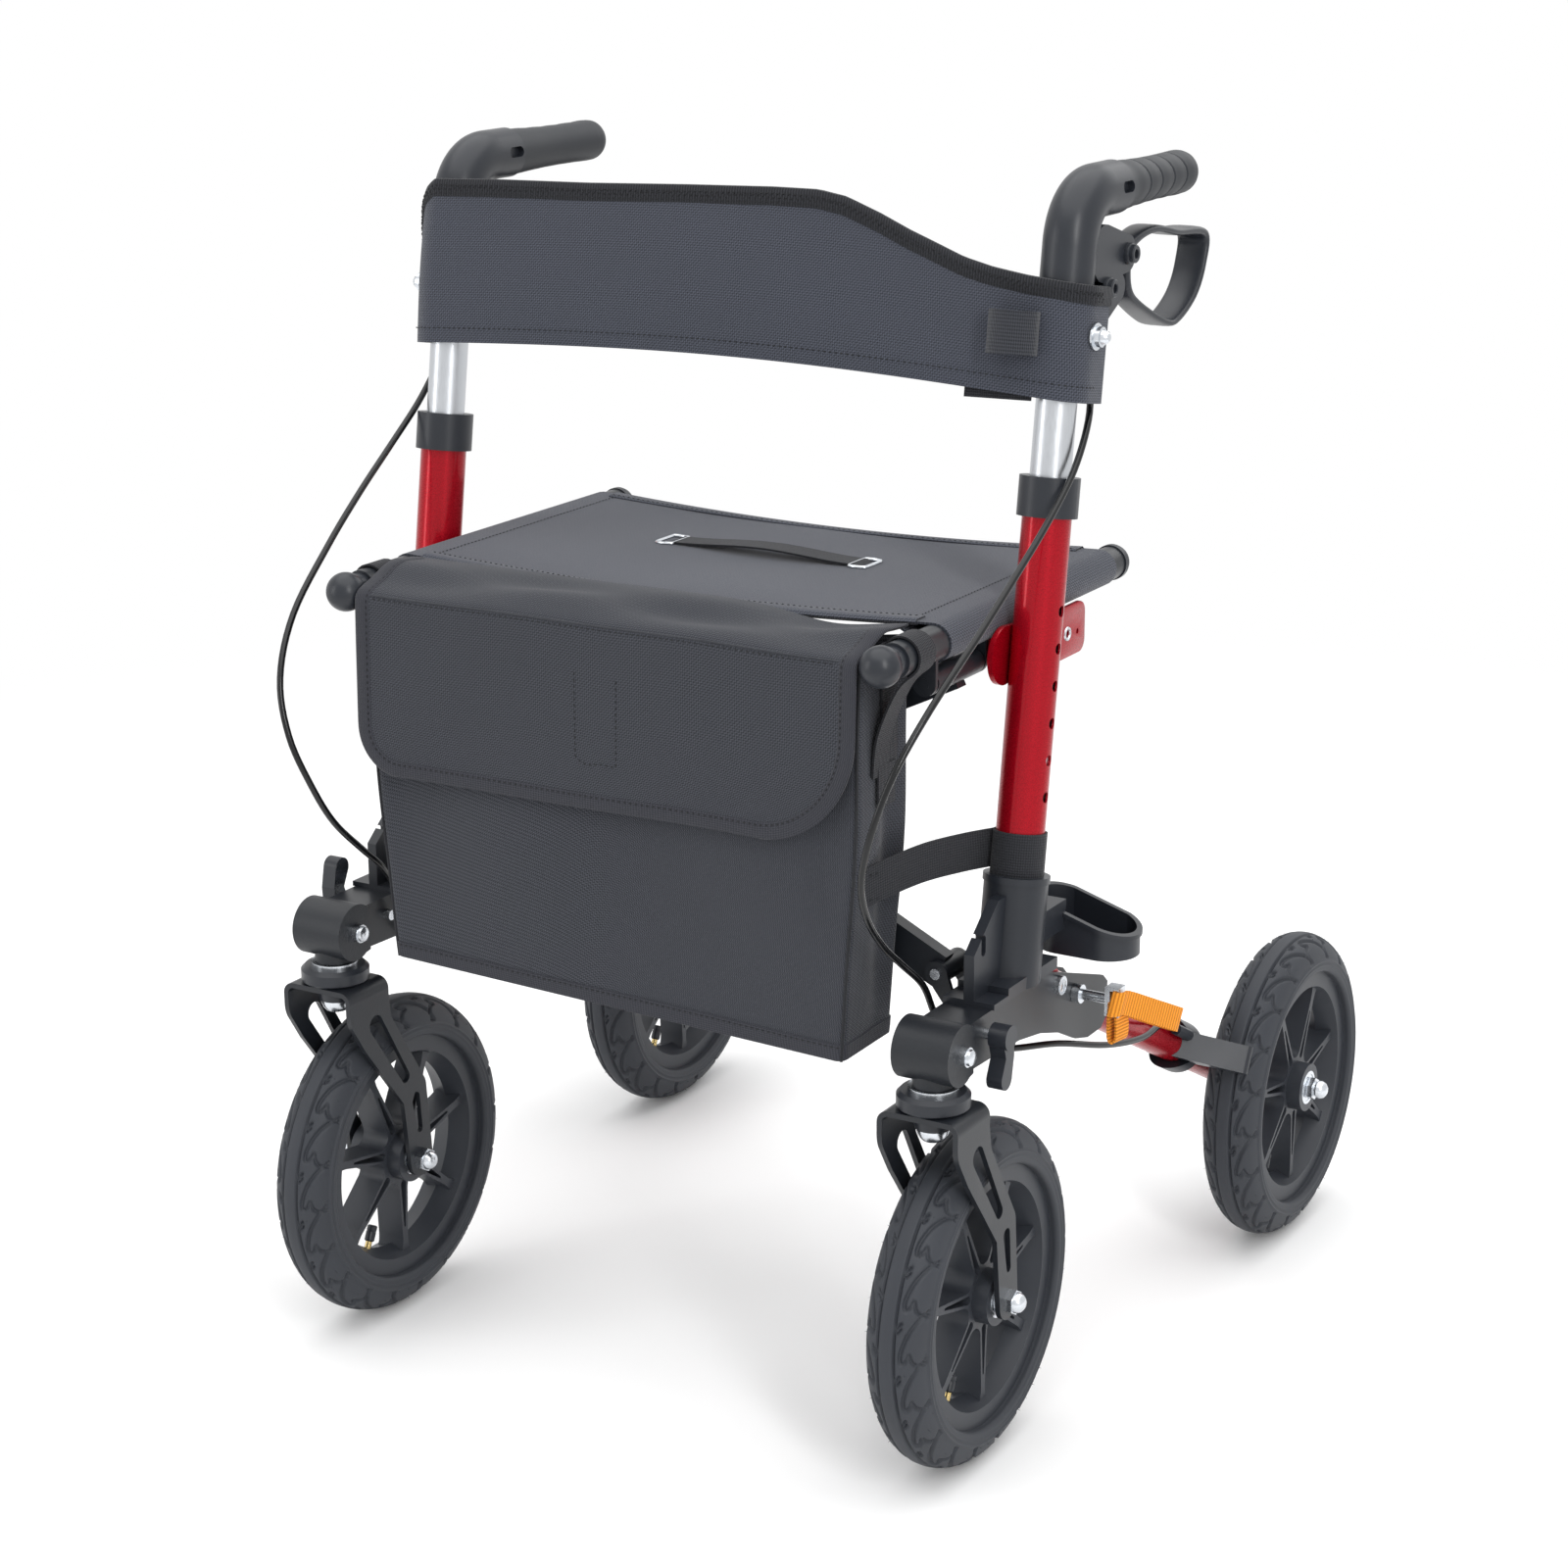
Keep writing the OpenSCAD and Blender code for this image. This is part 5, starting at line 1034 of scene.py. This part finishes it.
class RollatorBag(bpy.types.Operator):
    """Sagging bag: lofted shell, bottom tape, corner piping and hanging loops."""
    bl_idname = "rollator.bag"
    bl_label = "Bag"
    corner = 6.0

    def plan(self):
        """Places round the bag from its left side by the back: shares of the half sizes, and the way out."""
        out = [(1, b, 1, 0) for b in np.linspace(0, 0.9, 7)]
        faces = ([(a, 1, 0, 1) for a in np.linspace(0.97, -0.97, 56)],
                 [(-1, b, -1, 0) for b in np.linspace(0.9, -0.9, 13)],
                 [(a, -1, 0, -1) for a in np.linspace(-0.97, 0.97, 56)],
                 [(1, b, 1, 0) for b in np.linspace(-0.9, 0, 7)])
        for k, (a, b) in enumerate(((1, 1), (-1, 1), (-1, -1), (1, -1))):
            out += [(a, b, math.cos(t), math.sin(t)) for t in np.radians(np.linspace(90 * k, 90 * k + 90, 7))]
            out += faces[k]
        return out

    def ring(self, u, grow=0.0):
        """One level of the bag, u from 0 at the bottom to 1 at the mouth."""
        r = self.corner
        wide, deep = BAG_HALF - 14 * (1 - u) ** 2, (BAG_Y[1] - BAG_Y[0]) / 2 - 3.5
        sag = 4 * u * (1 - u)
        out = []
        for a, b, nx, ny in self.plan():
            x = a * (wide - r) + nx * (r + grow)
            y = sum(BAG_Y) / 2 + b * (deep - r) + ny * (r + grow)
            z = BAG_Z[0] + (BAG_Z[1] - BAG_Z[0]) * u - 0.03 * x * (1 - u)
            y += b * 3.5 * sag * math.cos(math.pi * x / 820) ** 2
            if b == -1:
                folds = 1.5 + 3.2 * math.sin(x / 38 + 1.7 * u) + 2.4 * math.sin(x / 71 - 4 * u + 1)
                y += sag * (1 - a ** 8) * folds
            # the pleat of the side wall, and the mouth's dip beside the seat
            x -= nx * sag * (6.0 * math.exp(-((y + 262) / 13) ** 2) + 1.5 * math.sin(u * 9))
            z -= max(0, b) * u ** 8 * 8 * math.exp(-((x - 150) / 45) ** 2)
            out.append((x, y, z))
        return out

    def execute(self, context):
        mid = np.array((0, sum(BAG_Y) / 2, BAG_Z[0]))
        out = np.array(self.ring(0)) - mid
        rows = [mid + out * (k, k, 1) + (0, 0, 1.5 * (1 - k)) for k in (0.02, 0.5, 0.9, 0.985)]
        rows += [self.ring(u) for u in np.linspace(0, 1, 40)]
        shell = weld(drape("shell", rows), False)
        work(shell, "SOLIDIFY", thickness=size().cloth_t, offset=-1.0)
        parts = [coat(shell, "canvas", 50)]
        wide = size().binding_w / MM / (BAG_Z[1] - BAG_Z[0])
        tape = [self.ring(u, g) for u, g in (
            (0.0, 0.2), (0.002, 1.1), (wide * 0.5, 1.2), (wide, 1.1), (wide + 0.002, 0.2))]
        parts.append(coat(weld(drape("bottom_tape", tape), False), "edging", 50))
        plan = self.plan()
        for s in (1, -1):
            k = min(range(len(plan)), key=lambda i: math.hypot(plan[i][2] - s * 0.707, plan[i][3] + 0.707))
            line = [self.ring(u, 0.6)[k] for u in np.linspace(0.0, 0.985, 40)]
            parts.append(coat(tube("piping", line, 1.2, 8), "binding"))
        path = [q for p, q in zip(plan, self.ring(wide - 0.006, 1.4)) if p[3] < -0.7]
        parts.append(stitches("bottom_stitch", path, (0, -1, 0.001)))
        for s in (1, -1):
            # hanging loop: up from the bag's side, over the tube's end, and back
            r = 14.2
            arc = [(s * (SEAT_X + r * math.cos(t)), -274, SEAT_Z + r * math.sin(t))
                   for t in np.radians(np.arange(190, -60, -14))]
            line = [(s * 204.6, -270, 508), (s * 205.6, -271, 540), (s * 206.4, -273, 575), arc[0]]
            tail = [arc[-1], (s * 222, -281, 578), (s * 209, -284, 545), (s * 205.6, -284, 515)]
            loop = np.vstack([steps_along(line, 4)[:-1], arc, steps_along(tail, 4)[1:]])
            parts.append(coat(ribbon("loop", loop, (0, 1, 0.0), 11, 1.5), "webbing"))
            patch = [(s * 206.2, -276, z) for z in np.linspace(492, 522, 6)]
            parts.append(coat(ribbon("patch", patch, (0, 1, 0), 12, 1.4), "webbing"))
        bag = join("front_bag", parts)
        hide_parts("bag_body")
        with_fold(bag, *SEAT_FOLD)
        return {"FINISHED"}


class RollatorFlap(bpy.types.Operator):
    """Flap over the bag's mouth, with bound edges, a creased front edge and the sewn fastener."""
    bl_idname = "rollator.flap"
    bl_label = "Bag flap"
    half, low_left, low_right = 207.0, 80.0, 36.0
    line = even(steps_along([
        (-247, 614.5), (-262, 615.5), (-284, 614), (-304, 610), (-317, 604.5), (-320.5, 600), (-321.5, 592),
        (-322, 560), (-321.5, 515), (-320, 469)], 8), 240)
    run = float(np.linalg.norm(np.diff(line, axis=0), axis=1).sum())

    def down(self, z):
        """How far down the flap its hanging part passes a height."""
        return float(np.interp(-z, -self.line[60:, 1], np.arange(60, 240))) / 239 * self.run

    def spot(self, x, d, out=0.0):
        """A place on the flap: across, down its length, and off its face."""
        line, run = self.line, self.run
        k = np.clip(d / run, 0, 1) * (len(line) - 1)
        i = int(min(k, len(line) - 2))
        p = line[i] + (k - i) * (line[i + 1] - line[i])
        way = line[min(i + 3, len(line) - 1)] - line[max(i - 2, 0)]
        way = way / np.linalg.norm(way)
        y, z = p + out * np.array((way[1], -way[0]))
        top = math.exp(-((d - 40) / 24) ** 2)
        hang = max(0.0, (d - 95) / (run - 95))
        z += top * (3.0 * math.sin(x / 30 + d / 17) + 2.2 * math.sin(x / 55 - d / 12 + 1) - 1.5)
        z -= 9 * math.exp(-((x - 150) / 45) ** 2) * math.exp(-((d - 15) / 38) ** 2)
        y += hang * (1.6 * math.sin(x / 64 + 0.6) + 1.1 * math.sin(x / 31 + d / 40)) - 2.0 * hang
        return (x, y, z)

    def edge(self, d, run, radius):
        over = d - (run - radius)
        return self.half - (radius - math.sqrt(max(0.0, radius ** 2 - over ** 2)) if over > 0 else 0)

    def execute(self, context):
        run = self.run
        rows = []
        for v in np.r_[np.linspace(0, 0.7, 44), np.linspace(0.71, 1, 40)]:
            d = v * run
            left, right = self.edge(d, run, self.low_left), self.edge(d, run, self.low_right)
            rows.append([self.spot(x, d) for x in np.linspace(-right, left, 84)])
        sheet = drape("bag_flap_cloth", rows)
        work(sheet, "SOLIDIFY", thickness=size().cloth_t, offset=0.0)
        coat(sheet, "canvas", 60)
        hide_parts("bag_flap")
        # outline from the left hinge corner round to the right one, as across and down
        line = [(self.half, d) for d in np.linspace(6, run - self.low_left, 30)]
        for way, r, turn in ((1, self.low_left, np.linspace(6, 90, 18)),
                             (-1, self.low_right, np.linspace(90, 6, 14))):
            line += [(way * (self.half - r + r * math.cos(t)), run - r + r * math.sin(t))
                     for t in np.radians(turn)]
        line += [(-self.half, d) for d in np.linspace(run - self.low_right - 2, 6, 30)]
        line = even(line, 220)
        way = np.gradient(line, axis=0)
        way /= np.linalg.norm(way, axis=1)[:, None]
        inward = np.c_[-way[:, 1], way[:, 0]]
        wide = size().binding_w / MM
        tape = [(wide, 0.9), (wide - 1, 1.5), (wide * 0.5, 1.6), (1, 1.5), (-0.8, 0.4), (-0.8, -0.6),
                (1, -1.6), (wide, -1.3)]
        rows = [[self.spot(*p, out) for p in line + k * inward] for k, out in tape]
        trims = [coat(drape("flap_tape", rows), "edging", 60)]
        path = [self.spot(*p, 1.75) for p in line + (wide - 2) * inward]
        trims.append(stitches("flap_stitch", path, (0, -1, 0.05)))
        crease = self.down(600)
        path = [self.spot(x, crease, 1.0) for x in np.linspace(-192, 192, 60)]
        trims.append(stitches("crease_stitch", path, (0, -0.8, 0.6)))
        path = [self.spot(x, crease - 2.5, 0.5) for x in np.linspace(-194, 194, 60)]
        trims.append(coat(tube("crease", path, 0.9, 8), "canvas"))
        box = [(-17, 568), (-17, 506), (-8, 502), (4, 504), (17, 503), (18, 568)]
        path = [self.spot(x, self.down(z), 0.95) for x, z in even(box, 60)]
        trims.append(stitches("fastener_stitch", path, (0, -1, 0.02)))
        trim = join("bag_flap_trim", trims)
        for o in (sheet, trim):
            with_fold(o, "flap", "cloth", SEAT_X, SEAT_KEEP)
        return {"FINISHED"}


class RollatorStraps(bpy.types.Operator):
    """Webbing from each upright to the bag, and the orange pull loops of the lock pins."""
    bl_idname = "rollator.straps"
    bl_label = "Straps"

    def execute(self, context):
        for side, s in SIDES:
            r, level = 18.6, 92.0
            ring = [leaned(s * (FRAME_X + r * math.cos(t)), r * math.sin(t), level)
                    for t in np.radians(np.arange(0, 361, 15))]
            parts = [coat(ribbon("wrap", ring, UP, 16, 1.6), "webbing")]
            line = steps_along([(s * 240, -176, 440), (s * 231, -208, 443), (s * 219, -246, 444),
                                (s * 207.6, -284, 440.5), (s * 202.4, -302, 437.5)], 6)
            parts.append(coat(ribbon("tail", line, (0, 0.05, 1), 14, 1.6), "webbing"))
            for z in (429, 447):
                path = [(s * (203.6 + 0.29 * (y + 302)), y, z) for y in np.linspace(-288, -300, 5)]
                parts.append(stitches("tack", path, (s, 0, 0.01)))
            o = join(side + "_bag_webbing", parts)
            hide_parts(side + "_side_strap")
            place(o, side + "_side", "webbing")
            place(self.pull(side, s), side + "_pin", "orange_webbing")
        return {"FINISHED"}

    def pull(self, side, s):
        """The orange loop droops from the pin, and its short end hangs below."""
        a = math.atan2(-206, 389)
        pin = np.array((308.5, -146 + 34 * math.cos(a), 333 + 34 * math.sin(a)))
        shares = [(0, -0.111), (0, 0.111), (0.415, 0.511), (0.785, 0.8), (0.908, 0.844), (1, 0.778),
                  (0.692, 0.422), (0.308, 0.044), (0.262, -0.089), (0.108, -0.156)]
        line = [pin + (k * 29, m * 62, -32 * max(0, m)) for k, m in shares]
        line = steps_along(np.array(line) * (s, 1, 1), 6, True)
        loop = ribbon("loop", np.vstack([line, line[:1]]), (s * 0.1, 0.35, 1), 9, 1.8)
        tail = [(3, 0, 2), (4.5, 1, -8), (5, 2, -20), (4, 3, -29), (1, 3, -32), (-1.5, 2.5, -28),
                (-1, 1, -14), (0, 0, 0)]
        tail = steps_along((pin + np.array(tail)) * (s, 1, 1), 4)
        parts = [coat(loop, "orange"), coat(ribbon("tail", tail, (s * 0.2, 1, 0), 7.6, 1.6), "orange")]
        o = join(side + "_orange_loop", parts)
        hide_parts(side + "_pull_strap")
        return o


class RollatorHandles(bpy.types.Operator):
    """Grips with swept grooves, loop levers and the socket screws of the housings."""
    bl_idname = "rollator.handles"
    bl_label = "Handles"
    # screws of the housing: places from the pivot, half their length, and the outline of a head
    screws, screw_half = ((0, 0), (-34, -20)), 17.0
    head = [(3.3, 1.0), (3.3, 5.2), (4, 5.8), (5.6, 5.8), (6.4, 5.0), (6.6, 2.4), (7.4, 2.0), (7.7, 1.2),
            (7.7, -1.0)]
    eye = [(3.2, -7.8), (10, -7.8), (10.8, -7), (10.8, 7), (10, 7.8), (3.2, 7.8)]

    def execute(self, context):
        for side, s in SIDES:
            grip = self.grip(s)
            grip.name = grip.data.name = side + "_hand_grip"
            coat(grip, "grip", 50)
            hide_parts(side + "_grip")
            place(grip, side + "_handle", "grip_rubber")
            lever = self.lever(s)
            lever.name = lever.data.name = side + "_loop_lever"
            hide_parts(side + "_brake_lever")
            place(lever, side + "_lever", "black_plastic")
            heads = []
            for dy, dz in self.screws:
                for k in (1, -1):
                    spot = (s * (FRAME_X + k * self.screw_half), PIVOT[0] + dy, PIVOT[1] + dz)
                    heads.append(turned("screw", self.head, spot, (s * k, 0, 0), 36, True))
                    heads.append(turned("key", [(0, 2.6), (3.6, 2.4), (3.6, 1.0)], spot, (s * k, 0, 0), 6))
            fit(side + "_housing_screws", heads, "plastic", side + "_handle", "black_plastic", 30)
        return {"FINISHED"}

    def grip(self, s):
        """A waisted grip with a round end; swept grooves are cut in its outer flank."""
        round_end, first, pitch = 15.0, 32.0, 21.5
        straight = GRIP_LEN - round_end
        rows = [(0, 11.2), (0, 17.6)]
        rows += [(v * straight, 18 - 1.2 * math.sin(math.pi * min(1, 1.05 * v)) - 2 * v)
                 for v in np.linspace(0.008, 1, 150)]
        rows += [(straight + round_end * math.sin(t), 16 * math.cos(t))
                 for t in np.radians(np.linspace(6, 90, 14))]
        table = []
        for y, r in rows:
            row = []
            for t in np.linspace(0, math.tau, 97):
                swept = y + 7 * max(0.0, -math.sin(t)) ** 1.5 + 3 * max(0.0, math.sin(t)) ** 2
                near = abs((swept - first + pitch / 2) % pitch - pitch / 2)
                flank = min(1.0, max(0.0, 0.5 + 1.6 * s * math.cos(t)))
                deep = max(0.0, 1 - near / 1.3) * flank * (first - 6 < swept < first + 4.4 * pitch)
                ridge = 0.35 * math.cos(math.pi * near / pitch) ** 2 * flank
                rr = max(0.02, r - (0.9 * deep + ridge) * min(1.0, r / 12))
                row.append((s * FRAME_X + rr * math.cos(t), GRIP_Y + y, HANDLE_Z + rr * math.sin(t)))
            table.append(row)
        return weld(drape("grip", table))

    def lever(self, s):
        """A flat hoop of plastic, rounded along both edges, and the eye that it turns on."""
        line = steps_along(LEVER_LOOP, 10, True)
        n = len(line)
        run = np.roll(line[:, :2], -1, axis=0) - np.roll(line[:, :2], 1, axis=0)
        run /= np.linalg.norm(run, axis=1)[:, None]
        out = np.c_[run[:, 1], -run[:, 0]]
        table = []
        for k in range(n + 1):
            y, z, t = line[k % n]
            half = 8.5 + 4.0 * min(1.0, max(0.0, (y - 30) / 60))
            o = out[k % n]
            row = []
            for a in np.radians(np.arange(0, 361, 20)):
                c, d = (math.copysign(abs(q) ** 0.55, q) for q in (math.cos(a), math.sin(a)))
                row.append((s * FRAME_X + half * c, PIVOT[0] + y + 0.7 * o[0] * t * d,
                            PIVOT[1] + z + 0.7 * o[1] * t * d))
            table.append(row)
        hoop = coat(weld(drape("hoop", table)), "plastic", 50)
        eye = turned("eye", self.eye, (s * FRAME_X, *PIVOT), (1, 0, 0), 32, True)
        arm = block("arm", (s * FRAME_X, PIVOT[0] + 15, PIVOT[1] - 5), (15, 20, 12), math.radians(-12))
        work(arm, "BEVEL", width=2 * MM, segments=3, limit_method="NONE")
        return join("lever", [hoop, coat(eye, "plastic"), coat(arm, "plastic")])


class RollatorPanel(bpy.types.Panel):
    """The rollator's parts and their sizes and colours."""
    bl_idname = "VIEW3D_PT_rollator"
    bl_label = "Rollator"
    bl_space_type = "VIEW_3D"
    bl_region_type = "UI"
    bl_category = "Rollator"

    def draw(self, context):
        for kind in PIECES:
            self.layout.operator(kind.bl_idname)
        for group in (context.scene.rollator_sizes, context.scene.rollator_colours):
            for key in group.__annotations__:
                self.layout.prop(group, key)


PIECES = (RollatorStage, RollatorCables, RollatorFinishes, RollatorTyres, RollatorWheelFittings,
          RollatorBrackets, RollatorSeat, RollatorBand, RollatorBag, RollatorFlap, RollatorStraps,
          RollatorHandles)
CLASSES = (RollatorColours, RollatorSizes, *PIECES, RollatorPanel)


def register():
    for kind in CLASSES:
        bpy.utils.register_class(kind)
    bpy.types.Scene.rollator_colours = bpy.props.PointerProperty(type=RollatorColours)
    bpy.types.Scene.rollator_sizes = bpy.props.PointerProperty(type=RollatorSizes)


def unregister():
    del bpy.types.Scene.rollator_colours
    del bpy.types.Scene.rollator_sizes
    for kind in reversed(CLASSES):
        bpy.utils.unregister_class(kind)


def main():
    register()
    for kind in PIECES:
        group, name = kind.bl_idname.split(".")
        getattr(getattr(bpy.ops, group), name)()


if __name__ == "__main__":
    main()
